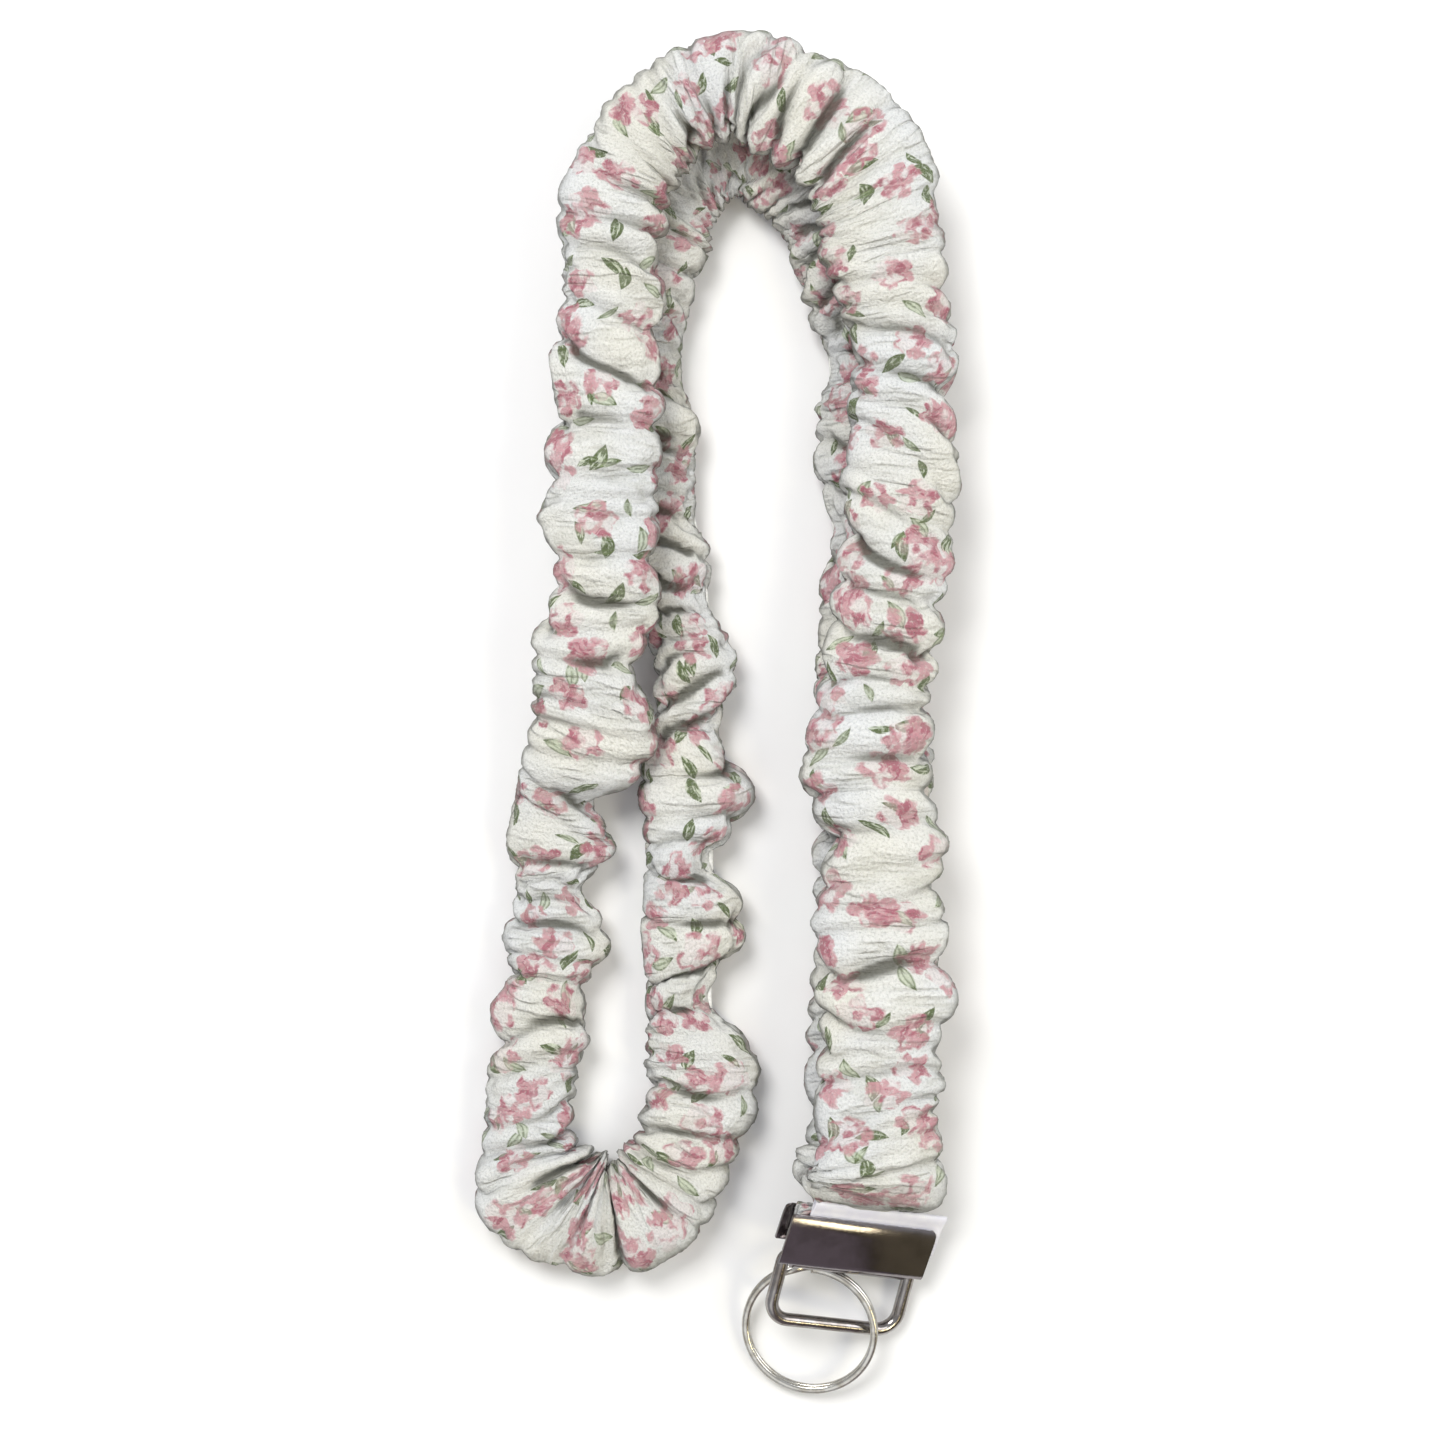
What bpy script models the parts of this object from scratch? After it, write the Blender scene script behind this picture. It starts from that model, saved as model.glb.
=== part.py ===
"""Scrunchie lanyard keychain: a gathered fabric sleeve over elastic, folded in half, with both ends
crimped in a key-fob clamp that carries a wire loop and a split ring.

Metres, +Z up. The keychain lies flat on z = 0 with its length along Y and its hardware at -Y.
"""

import math

import bmesh
import bpy
from mathutils import Euler, Matrix, Vector

MM = 0.001
CLEARANCE = 0.3 * MM

# Strap
STRAND_WIDTH = 24.0 * MM
STRAND_THICKNESS = 11.0 * MM
SLEEVE_WALL = 1.2 * MM
SLEEVE_END_WIDTH = 27.0 * MM
SLEEVE_END_THICKNESS = 4.0 * MM
END_TAPER = 34.0 * MM
SECTION_SPACING = 9.0 * MM
ROUND_SEGMENTS = 4
ELASTIC_WIDTH = 10.0 * MM
ELASTIC_THICKNESS = 1.0 * MM
ELASTIC_SETBACK = 1.0 * MM

# Centre heights of a strand that lies on the table and of one that lies on top of it
LOW = STRAND_THICKNESS / 2 + 0.15 * MM
HIGH = LOW + STRAND_THICKNESS + 2 * CLEARANCE

# Key-fob hardware: the frame's origin is on the clamp's fold axis, X along the clamp's width,
# Y towards the strap, Z out of the front plate
FOLD_CENTRE = Vector((25.6, -109.2, 9.0)) * MM
CLAMP_PITCH = math.radians(15.4)
CLAMP_ROLL = math.radians(20.8)
CLAMP_HEADING = math.radians(-17.0)
CLAMP_WIDTH = 32.0 * MM
CLAMP_HEIGHT = 12.7 * MM
CLAMP_RADIUS = 2.9 * MM
CLAMP_SHEET = 0.8 * MM
LIP_LENGTH = 2.6 * MM
LIP_INSET = 0.55 * MM
TOOTH_PITCH = 3.2 * MM
TOOTH_DEPTH = 1.1 * MM
FOLD_SLOT_FROM = 12.3 * MM
FOLD_SLOT_TO_Z = 2.6 * MM

LOOP_WIRE = 2.7 * MM
LOOP_WIDTH = 28.4 * MM
LOOP_HEIGHT = 14.2 * MM
LOOP_TOP_RADIUS = 2.1 * MM
LOOP_BAR_RADIUS = 4.2 * MM
LOOP_LIFT = math.radians(8.5)

RING_RADIUS = 14.0 * MM
RING_BAND = 1.5 * MM
RING_COIL = 1.0 * MM
RING_COIL_STEP = 1.2 * MM
RING_CENTRE = Vector((17.9, -124.3, 5.1)) * MM
RING_RISE_X = 0.165
RING_RISE_Y = 0.194
RING_KINK_AT = math.radians(97)

TAB_WIDTH = 29.0 * MM
TAB_THICKNESS = 0.9 * MM
TAB_FROM = 3.4 * MM
TAB_PAST_MOUTH = 1.2 * MM
FRONT_TAB_LEVEL = 0.15 * MM
REAR_TAB_LEVEL = -1.1 * MM
LABEL_FROM_X = -12.0 * MM
LABEL_TO_X = 17.4 * MM
LABEL_PAST_MOUTH = 3.4 * MM
LABEL_DEPTH = 6.0 * MM
LABEL_LEVEL = 1.26 * MM
LABEL_FABRIC = 0.16 * MM
LABEL_FOLD_RADIUS = 0.17 * MM

# The strap's centre line, in millimetres, from the front end at the clamp, up the right side, over
# the top, down the left, round the lower turn and back underneath to the rear end at the clamp
TOP, BASE = HIGH / MM, LOW / MM
ROUTE = (
    (31.2, -76.0, TOP - 0.2), (31.5, -56.0, TOP), (31.0, -36.0, TOP),
    (31.5, -15.5, TOP), (31.0, 4.5, TOP), (33.2, 25.0, TOP), (35.5, 45.0, TOP),
    (36.8, 65.5, TOP), (35.8, 85.5, TOP), (31.8, 102.0, TOP), (24.2, 114.5, TOP),
    (13.5, 123.0, TOP), (2.4, 126.4, TOP), (-8.5, 122.6, TOP), (-17.0, 113.5, TOP),
    (-21.0, 101.0, TOP), (-22.0, 85.5, TOP), (-23.0, 65.5, TOP), (-24.0, 45.0, TOP),
    (-24.6, 25.0, TOP), (-26.4, 8.0, TOP - 1.2), (-29.2, -4.0, BASE + 6.6),
    (-32.0, -16.0, BASE + 1.6), (-33.5, -28.0, BASE), (-33.5, -45.0, BASE),
    (-36.3, -62.0, BASE), (-38.3, -77.0, BASE), (-38.3, -88.5, BASE), (-33.4, -97.8, BASE),
    (-23.6, -101.8, BASE), (-13.6, -97.0, BASE), (-7.6, -86.0, BASE), (-5.2, -72.0, BASE),
    (-5.7, -56.0, BASE), (-5.7, -40.0, BASE), (-5.9, -27.0, BASE), (-6.0, -14.0, BASE),
    (-5.6, 2.0, BASE), (-6.0, 16.0, BASE), (-7.7, 33.0, BASE), (-10.5, 50.0, BASE),
    (-11.7, 66.0, BASE), (-11.7, 85.0, BASE), (-10.0, 99.0, BASE), (-4.5, 109.2, BASE),
    (4.5, 112.8, BASE), (13.4, 108.0, BASE), (19.8, 97.5, BASE), (24.6, 82.0, BASE),
    (26.0, 65.5, BASE), (26.0, 49.0, BASE), (27.8, 33.0, BASE), (29.5, 15.0, BASE),
    (29.8, -5.0, BASE), (29.5, -30.0, BASE), (29.0, -56.0, BASE), (29.4, -75.0, BASE + 0.8),
)

CLAMP_TURN = Euler((CLAMP_PITCH, CLAMP_ROLL, CLAMP_HEADING), "YXZ").to_matrix()
ALONG_CLAMP, TO_STRAP, OUT_OF_PLATE = (CLAMP_TURN.col[i].copy() for i in range(3))
MOUTH_Y = CLAMP_HEIGHT - CLAMP_RADIUS
# The strap bends at a line just outside the clamp's mouth
FLEX_Y = MOUTH_Y + 2.5 * MM
SLEEVE_END_Y = MOUTH_Y + 5.5 * MM
SLEEVE_END_LEVEL = 2.3 * MM
# It comes out of the clamp straight, its strands parting as they thicken
LEAD_OUT_Y = SLEEVE_END_Y + 7.0 * MM
LEAD_OUT_LEVEL = 3.1 * MM


def start_empty():
    for obj in list(bpy.data.objects):
        bpy.data.objects.remove(obj, do_unlink=True)
    bpy.context.scene.unit_settings.system = "METRIC"


def new_collection(name):
    collection = bpy.data.collections.new(name)
    bpy.context.scene.collection.children.link(collection)
    return collection


def material(name, colour, roughness, metallic=0.0):
    mat = bpy.data.materials.new(name)
    mat.use_nodes = True
    shader = mat.node_tree.nodes["Principled BSDF"]
    shader.inputs["Base Color"].default_value = (*colour, 1.0)
    shader.inputs["Roughness"].default_value = roughness
    shader.inputs["Metallic"].default_value = metallic
    return mat


def add_object(name, data, collection, mat=None, parent=None):
    obj = bpy.data.objects.new(name, data)
    collection.objects.link(obj)
    if mat:
        data.materials.append(mat)
    obj.parent = parent
    return obj


def add_frame(name, collection, parent=None):
    frame = bpy.data.objects.new(name, None)
    frame.empty_display_size = 5 * MM
    frame.parent = parent
    collection.objects.link(frame)
    return frame


def mesh_from(bm, name):
    bmesh.ops.recalc_face_normals(bm, faces=bm.faces)
    mesh = bpy.data.meshes.new(name)
    bm.to_mesh(mesh)
    bm.free()
    return mesh


# ---- the strap's route ----


def fold_point(y, z):
    """A point in the clamp's own frame, on its middle line, as world coordinates."""
    return FOLD_CENTRE + TO_STRAP * y + OUT_OF_PLATE * z


def catmull_rom(a, b, c, d, t):
    return 0.5 * (
        2 * b + (c - a) * t + (2 * a - 5 * b + 4 * c - d) * t**2 + (3 * b - a - 3 * c + d) * t**3
    )


def smooth_route(points, spacing):
    """Even steps along a smooth curve through the points."""
    padded = [2 * points[0] - points[1], *points, 2 * points[-1] - points[-2]]
    fine = [points[0]]
    steps = 24
    for i in range(len(points) - 1):
        fine += [catmull_rom(*padded[i : i + 4], (k + 1) / steps) for k in range(steps)]
    lengths = [0.0]
    for a, b in zip(fine, fine[1:]):
        lengths.append(lengths[-1] + (b - a).length)
    count = round(lengths[-1] / spacing)
    even, at = [], 0
    for k in range(count + 1):
        want = lengths[-1] * k / count
        while at < len(fine) - 2 and lengths[at + 1] < want:
            at += 1
        share = (want - lengths[at]) / (lengths[at + 1] - lengths[at])
        even.append(fine[at].lerp(fine[at + 1], share))
    return even, lengths[-1]


def strap_frames(spacing):
    """(distance from the nearer end, centre, across, up) for every section of the strap."""
    leads = ((SLEEVE_END_Y, SLEEVE_END_LEVEL), (LEAD_OUT_Y, LEAD_OUT_LEVEL))
    front = [fold_point(y, level) for y, level in leads]
    rear = [fold_point(y, -level) for y, level in leads]
    points = [*front, *(Vector(p) * MM for p in ROUTE), *reversed(rear)]
    centres, length = smooth_route(points, spacing)
    frames = []
    last = len(centres) - 1
    for i, centre in enumerate(centres):
        along = (centres[min(i + 1, last)] - centres[max(i - 1, 0)]).normalized()
        from_end = min(i, last - i) * length / last
        turn = smooth_share(from_end / END_TAPER)
        # Both strands lie with their front up, so the up side leans with the plate near the clamp
        up = OUT_OF_PLATE.lerp(Vector((0, 0, 1)), turn)
        across = along.cross(up).normalized()
        frames.append((from_end, centre, across, across.cross(along).normalized()))
    return frames


def smooth_share(t):
    t = min(max(t, 0.0), 1.0)
    return t * t * (3 - 2 * t)


def rounded_strip(width, thickness):
    """A flat strip's outline with half-round edges, as (across, up) pairs."""
    radius = thickness / 2
    reach = width / 2 - radius
    outline = []
    for side in (1, -1):
        for k in range(ROUND_SEGMENTS + 1):
            angle = side * math.pi / 2 - math.pi * k / ROUND_SEGMENTS
            outline.append((side * reach + radius * math.cos(angle), radius * math.sin(angle)))
    return outline


def loft_ring(bm, frame, outline):
    _, centre, across, up = frame
    return [bm.verts.new(centre + across * a + up * b) for a, b in outline]


def bridge(bm, first, second):
    count = len(first)
    for i in range(count):
        j = (i + 1) % count
        bm.faces.new((first[i], first[j], second[j], second[i]))


def build_sleeve(parts):
    """One open-ended tube whose oval section is pressed flatter where it nears the clamp."""
    bm = bmesh.new()
    outer, inner = [], []
    for frame in strap_frames(SECTION_SPACING):
        share = smooth_share(frame[0] / END_TAPER)
        width = SLEEVE_END_WIDTH + (STRAND_WIDTH - SLEEVE_END_WIDTH) * share
        thickness = SLEEVE_END_THICKNESS + (STRAND_THICKNESS - SLEEVE_END_THICKNESS) * share
        outer.append(loft_ring(bm, frame, rounded_strip(width, thickness)))
        inside = rounded_strip(width - 2 * SLEEVE_WALL, thickness - 2 * SLEEVE_WALL)
        inner.append(loft_ring(bm, frame, inside))
    for rings in (outer, inner):
        for first, second in zip(rings, rings[1:]):
            bridge(bm, first, second)
    for end in (0, -1):
        bridge(bm, outer[end], inner[end])
    mesh = mesh_from(bm, "fabric_sleeve")
    mesh.shade_smooth()
    fabric = material("floral_velour", (0.86, 0.84, 0.79), 0.9)
    return add_object("fabric_sleeve", mesh, parts, fabric)


def build_elastic(parts):
    """Flat elastic through the whole sleeve, a little shorter than it at both ends."""
    bm = bmesh.new()
    outline = rounded_strip(ELASTIC_WIDTH, ELASTIC_THICKNESS)
    frames = strap_frames(SECTION_SPACING)
    for end, step in ((0, 1), (-1, -1)):
        from_end, centre, across, up = frames[end]
        inwards = (frames[end + step][1] - centre).normalized()
        frames[end] = (from_end, centre + inwards * ELASTIC_SETBACK, across, up)
    rings = [loft_ring(bm, frame, outline) for frame in frames]
    for first, second in zip(rings, rings[1:]):
        bridge(bm, first, second)
    bm.faces.new(rings[0])
    bm.faces.new(rings[-1])
    mesh = mesh_from(bm, "elastic_band")
    mesh.shade_smooth()
    return add_object("elastic_band", mesh, parts, material("elastic", (0.9, 0.9, 0.88), 0.7))


# ---- pieces in the clamp's frame ----


def add_box(name, collection, low, high, parent, mat=None):
    bm = bmesh.new()
    low, high = Vector(low), Vector(high)
    size = high - low
    place = Matrix.Translation((low + high) / 2) @ Matrix.Diagonal((*size, 1))
    bmesh.ops.create_cube(bm, size=1, matrix=place)
    return add_object(name, mesh_from(bm, name), collection, mat, parent)


def add_bevel(obj, width, segments):
    bevel = obj.modifiers.new("soft_edges", "BEVEL")
    bevel.width = width
    bevel.segments = segments
    bevel.limit_method = "ANGLE"


def make_cutter(obj):
    obj.hide_render = True
    obj.display_type = "WIRE"
    return obj


def cut(obj, cutter, name):
    boolean = obj.modifiers.new(name, "BOOLEAN")
    boolean.operation = "DIFFERENCE"
    boolean.object = cutter


def strip_mesh(name, outline, width):
    """An open sheet: the outline of (y, z) pairs drawn out along x, centred on x = 0."""
    bm = bmesh.new()
    verts = [bm.verts.new((-width / 2, y, z)) for y, z in outline]
    edges = [bm.edges.new(pair) for pair in zip(verts, verts[1:])]
    drawn = bmesh.ops.extrude_edge_only(bm, edges=edges)["geom"]
    moved = [item for item in drawn if isinstance(item, bmesh.types.BMVert)]
    bmesh.ops.translate(bm, verts=moved, vec=(width, 0, 0))
    return mesh_from(bm, name)


def clamp_outline():
    """The folded plate's middle line: toothed lip, front plate, fold, rear plate, toothed lip."""
    radius = CLAMP_RADIUS - CLAMP_SHEET / 2
    lip_tip = radius - LIP_INSET
    bend_y = MOUTH_Y - LIP_LENGTH
    half = [(MOUTH_Y, lip_tip), (bend_y, radius)]
    fold_steps = 10
    fold = [
        (-radius * math.sin(math.pi * k / fold_steps), radius * math.cos(math.pi * k / fold_steps))
        for k in range(fold_steps + 1)
    ]
    return half + fold + [(y, -z) for y, z in reversed(half)]


def teeth_cutter(cutters, parent):
    """Wedges between the teeth, joined by a bar beyond the mouth. They cut the lips' inner half."""
    bm = bmesh.new()
    count = round(CLAMP_WIDTH / TOOTH_PITCH)
    beyond = MOUTH_Y + 2 * MM
    reach = CLAMP_RADIUS - CLAMP_SHEET / 2 - LIP_INSET
    points = [(-CLAMP_WIDTH / 2 - 1 * MM, beyond), (-CLAMP_WIDTH / 2 - 1 * MM, MOUTH_Y + 0.4 * MM)]
    for k in range(count):
        middle = (k + 0.5) * TOOTH_PITCH - CLAMP_WIDTH / 2
        points += [
            (middle - TOOTH_PITCH / 4, MOUTH_Y + 0.4 * MM),
            (middle, MOUTH_Y - TOOTH_DEPTH),
            (middle + TOOTH_PITCH / 4, MOUTH_Y + 0.4 * MM),
        ]
    points += [(CLAMP_WIDTH / 2 + 1 * MM, MOUTH_Y + 0.4 * MM), (CLAMP_WIDTH / 2 + 1 * MM, beyond)]
    face = bm.faces.new([bm.verts.new((x, y, -reach)) for x, y in points])
    drawn = bmesh.ops.extrude_face_region(bm, geom=[face])["geom"]
    top = [item for item in drawn if isinstance(item, bmesh.types.BMVert)]
    bmesh.ops.translate(bm, verts=top, vec=(0, 0, 2 * reach))
    bmesh.ops.triangulate(bm, faces=bm.faces)
    return make_cutter(
        add_object("teeth_cutter", mesh_from(bm, "teeth_cutter"), cutters, None, parent)
    )


def build_clamp(parts, cutters, frame, nickel):
    clamp = add_object(
        "clamp", strip_mesh("clamp", clamp_outline(), CLAMP_WIDTH), parts, nickel, frame
    )
    sheet = clamp.modifiers.new("sheet", "SOLIDIFY")
    sheet.thickness = CLAMP_SHEET
    sheet.offset = 0
    sheet.use_even_offset = True
    # The wire's legs leave the fold through an open slot at each end, behind the front plate
    for name, side in (("left_slot_cutter", -1), ("right_slot_cutter", 1)):
        xs = sorted((side * FOLD_SLOT_FROM, side * (CLAMP_WIDTH / 2 + 1 * MM)))
        low = (xs[0], -2 * CLAMP_RADIUS, -2 * CLAMP_RADIUS)
        high = (xs[1], LOOP_WIRE / 2 + CLEARANCE, FOLD_SLOT_TO_Z)
        cut(clamp, make_cutter(add_box(name, cutters, low, high, frame)), name)
    cut(clamp, teeth_cutter(cutters, frame), "teeth")
    return clamp


def build_tab(name, level, parts, frame, fabric):
    """The strand's pressed end: it reaches from inside the clamp to just past its mouth."""
    low = (-TAB_WIDTH / 2, TAB_FROM, level - TAB_THICKNESS / 2)
    high = (TAB_WIDTH / 2, MOUTH_Y + TAB_PAST_MOUTH, level + TAB_THICKNESS / 2)
    tab = add_box(name, parts, low, high, frame, fabric)
    add_bevel(tab, 0.25 * MM, 2)
    return tab


def build_label(parts, frame):
    """A strip folded in two with its fold outside the mouth and its cut ends in the clamp."""
    tip = MOUTH_Y + LABEL_PAST_MOUTH - LABEL_FOLD_RADIUS
    foot = MOUTH_Y - LABEL_DEPTH
    fold_steps = 6
    outline = [(foot, LABEL_FOLD_RADIUS)]
    for k in range(fold_steps + 1):
        angle = math.pi / 2 - math.pi * k / fold_steps
        outline.append(
            (tip + LABEL_FOLD_RADIUS * math.cos(angle), LABEL_FOLD_RADIUS * math.sin(angle))
        )
    outline.append((foot, -LABEL_FOLD_RADIUS))
    mesh = strip_mesh("folded_label", outline, LABEL_TO_X - LABEL_FROM_X)
    satin = material("label_satin", (0.9, 0.9, 0.93), 0.4)
    label = add_object("folded_label", mesh, parts, satin, frame)
    label.location = ((LABEL_FROM_X + LABEL_TO_X) / 2, 0, LABEL_LEVEL)
    sheet = label.modifiers.new("sheet", "SOLIDIFY")
    sheet.thickness = LABEL_FABRIC
    sheet.offset = 0
    return label


# ---- wire pieces ----


def rounded_corner(centre, radius, start, steps):
    return [
        (
            centre[0] + radius * math.cos(start + math.pi / 2 * k / steps),
            centre[1] + radius * math.sin(start + math.pi / 2 * k / steps),
            0.0,
        )
        for k in range(steps + 1)
    ]


def add_wire(name, points, cyclic, collection, mat, parent):
    data = bpy.data.curves.new(name, "CURVE")
    data.dimensions = "3D"
    data.use_fill_caps = True
    spline = data.splines.new("POLY")
    spline.points.add(len(points) - 1)
    for point, co in zip(spline.points, points):
        point.co = (*co, 1.0)
    spline.use_cyclic_u = cyclic
    spline.use_smooth = True
    return add_object(name, data, collection, mat, parent)


def build_wire_loop(parts, frame, nickel):
    """A closed rectangle of round wire: its top bar turns in the clamp's fold."""
    half = LOOP_WIDTH / 2
    top, bar = LOOP_TOP_RADIUS, LOOP_BAR_RADIUS
    steps = 5
    points = rounded_corner((half - top, -top), top, 0, steps)
    points += rounded_corner((top - half, -top), top, math.pi / 2, steps)
    points += rounded_corner((bar - half, bar - LOOP_HEIGHT), bar, math.pi, steps)
    points += rounded_corner((half - bar, bar - LOOP_HEIGHT), bar, 1.5 * math.pi, steps)
    loop = add_wire("wire_loop", points, True, parts, nickel, frame)
    loop.data.bevel_depth = LOOP_WIRE / 2
    loop.data.bevel_resolution = 3
    return loop


def ring_section(cutters):
    """The ring wire's outline, flat-sided with chamfered corners, as a curve to sweep."""
    half_band, half_coil, chamfer = RING_BAND / 2, RING_COIL / 2, 0.25 * MM
    corners = []
    for x, y in ((1, 1), (1, -1), (-1, -1), (-1, 1)):
        pair = [
            (x * half_band, y * (half_coil - chamfer), 0.0),
            (x * (half_band - chamfer), y * half_coil, 0.0),
        ]
        corners += pair if x * y < 0 else pair[::-1]
    section = add_wire("ring_section", corners, True, cutters, None, None)
    section.data.dimensions = "2D"
    return make_cutter(section)


def build_split_ring(parts, cutters, frame, steel):
    """Two turns of flat wire, one on the other, with a short step where one becomes the other."""
    middle = RING_RADIUS - RING_BAND / 2
    step_half = math.radians(9)
    turn = 2 * math.pi
    per_turn = 44
    points = []
    start, stop = step_half, 2 * turn - step_half
    count = round((stop - start) / turn * per_turn)
    for k in range(count + 1):
        angle = start + (stop - start) * k / count
        rise = smooth_share((angle - (turn - step_half)) / (2 * step_half)) - 0.5
        here = angle + RING_KINK_AT
        points.append((middle * math.cos(here), middle * math.sin(here), rise * RING_COIL_STEP))
    ring = add_wire("split_ring", points, False, parts, steel, frame)
    ring.data.bevel_mode = "OBJECT"
    ring.data.bevel_object = ring_section(cutters)
    ring.data.twist_mode = "Z_UP"
    return ring


def main():
    start_empty()
    parts = new_collection("wristlet_keychain")
    cutters = new_collection("cutters")
    nickel = material("dark_nickel", (0.42, 0.40, 0.40), 0.16, 1.0)
    steel = material("bright_nickel", (0.78, 0.77, 0.74), 0.2, 1.0)
    pressed = material("pressed_fabric", (0.84, 0.82, 0.77), 0.9)

    build_sleeve(parts)
    build_elastic(parts)

    clamp_frame = add_frame("clamp_frame", parts)
    clamp_frame.location = FOLD_CENTRE
    clamp_frame.rotation_mode = "YXZ"
    clamp_frame.rotation_euler = (CLAMP_PITCH, CLAMP_ROLL, CLAMP_HEADING)
    build_clamp(parts, cutters, clamp_frame, nickel)
    build_tab("sleeve_end_front", FRONT_TAB_LEVEL, parts, clamp_frame, pressed)
    build_tab("sleeve_end_rear", REAR_TAB_LEVEL, parts, clamp_frame, pressed)
    build_label(parts, clamp_frame)

    loop_frame = add_frame("loop_frame", parts, clamp_frame)
    loop_frame.rotation_euler = (-LOOP_LIFT, 0, 0)
    build_wire_loop(parts, loop_frame, nickel)

    ring_frame = add_frame("ring_frame", parts)
    ring_frame.location = RING_CENTRE
    lean = Vector((-RING_RISE_X, -RING_RISE_Y, 1)).normalized()
    ring_frame.rotation_mode = "QUATERNION"
    ring_frame.rotation_quaternion = Vector((0, 0, 1)).rotation_difference(lean)
    build_split_ring(parts, cutters, ring_frame, steel)


main()
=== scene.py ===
"""Looks for the scrunchie lanyard keychain: gathered floral velour over elastic, with key-fob hardware.

Lengths in the code are millimetres unless a name says otherwise; objects are placed in metres.
"""

import math

import bmesh
import bpy
import numpy as np
from mathutils import Euler, Matrix, Vector


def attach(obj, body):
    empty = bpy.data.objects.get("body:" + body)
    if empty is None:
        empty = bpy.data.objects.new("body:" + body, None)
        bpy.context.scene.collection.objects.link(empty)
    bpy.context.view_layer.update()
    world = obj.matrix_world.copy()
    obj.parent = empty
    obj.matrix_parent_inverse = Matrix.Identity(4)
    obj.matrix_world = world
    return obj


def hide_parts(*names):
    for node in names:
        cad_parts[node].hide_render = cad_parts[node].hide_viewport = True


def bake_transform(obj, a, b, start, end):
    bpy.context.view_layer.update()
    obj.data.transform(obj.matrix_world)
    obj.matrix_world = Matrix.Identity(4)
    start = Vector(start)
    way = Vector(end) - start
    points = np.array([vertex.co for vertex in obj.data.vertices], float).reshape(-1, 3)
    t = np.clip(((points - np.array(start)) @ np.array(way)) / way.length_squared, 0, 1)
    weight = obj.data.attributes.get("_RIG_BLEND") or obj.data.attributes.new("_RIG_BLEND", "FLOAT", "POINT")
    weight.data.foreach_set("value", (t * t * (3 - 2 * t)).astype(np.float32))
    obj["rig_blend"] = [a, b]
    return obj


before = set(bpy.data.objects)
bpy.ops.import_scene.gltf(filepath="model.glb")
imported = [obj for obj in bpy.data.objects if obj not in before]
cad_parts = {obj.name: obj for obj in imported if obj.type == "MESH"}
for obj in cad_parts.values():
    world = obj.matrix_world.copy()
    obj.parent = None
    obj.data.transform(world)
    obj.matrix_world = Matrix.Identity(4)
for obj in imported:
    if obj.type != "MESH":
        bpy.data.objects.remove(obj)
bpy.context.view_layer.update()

MM = 0.001

# ---- the hardware's frame and the strap's route, as the CAD model has them ----

FOLD_CENTRE = np.array((25.6, -109.2, 9.0))
CLAMP_TURN = Euler((math.radians(15.4), math.radians(20.8), math.radians(-17.0)), "YXZ").to_matrix()
ALONG_CLAMP, TO_STRAP, OUT_OF_PLATE = (np.array(CLAMP_TURN.col[i]) for i in range(3))
CLAMP_WIDTH = 32.0
CLAMP_RADIUS = 2.9
CLAMP_SHEET = 0.8
MOUTH_Y = 9.8
SLEEVE_END_Y = 15.3
LEAD_OUT_Y = 22.3
# The route starts inside the clamp's mouth, this far beyond the end of the CAD model's sleeve
ROUTE_START_Y = 8.6
ROUTE_LEAD = SLEEVE_END_Y - ROUTE_START_Y
# The sleeve follows the clamp at the mouth, and the strap from here on
BLEND_START_Y = 17.5

# Heights of the strands' centre lines off the floor
LOW = 5.65
HIGH = 17.25
BETWEEN = (LOW + HIGH) / 2
END_TAPER = 34.0

ROUTE = (
    (31.2, -76.0, HIGH - 0.2), (31.5, -56.0, HIGH), (31.0, -36.0, HIGH),
    (31.5, -15.5, HIGH), (31.0, 4.5, HIGH), (33.2, 25.0, HIGH), (35.5, 45.0, HIGH),
    (36.8, 65.5, HIGH), (35.8, 85.5, HIGH), (31.8, 102.0, HIGH), (24.2, 114.5, HIGH),
    (13.5, 123.0, HIGH), (2.4, 126.4, HIGH), (-8.5, 122.6, HIGH), (-17.0, 113.5, HIGH),
    (-21.0, 101.0, HIGH), (-22.0, 85.5, HIGH), (-23.0, 65.5, HIGH), (-24.0, 45.0, HIGH),
    (-24.6, 25.0, HIGH), (-26.4, 8.0, HIGH - 1.2), (-29.2, -4.0, LOW + 6.6),
    (-32.0, -16.0, LOW + 1.6), (-33.5, -28.0, LOW), (-33.5, -45.0, LOW),
    (-36.3, -62.0, LOW), (-38.3, -77.0, LOW), (-38.3, -88.5, LOW), (-33.4, -97.8, LOW),
    (-23.6, -101.8, LOW), (-13.6, -97.0, LOW), (-7.6, -86.0, LOW), (-5.2, -72.0, LOW),
    (-5.7, -56.0, LOW), (-5.7, -40.0, LOW), (-5.9, -27.0, LOW), (-6.0, -14.0, LOW),
    (-5.6, 2.0, LOW), (-6.0, 16.0, LOW), (-7.7, 33.0, LOW), (-10.5, 50.0, LOW),
    (-11.7, 66.0, LOW), (-11.7, 85.0, LOW), (-10.0, 99.0, LOW), (-4.5, 109.2, LOW),
    (4.5, 112.8, LOW), (13.4, 108.0, LOW), (19.8, 97.5, LOW), (24.6, 82.0, LOW),
    (26.0, 65.5, LOW), (26.0, 49.0, LOW), (27.8, 33.0, LOW), (29.5, 15.0, LOW),
    (29.8, -5.0, LOW), (29.5, -30.0, LOW), (29.0, -56.0, LOW), (29.4, -75.0, LOW + 0.8),
)
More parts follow.
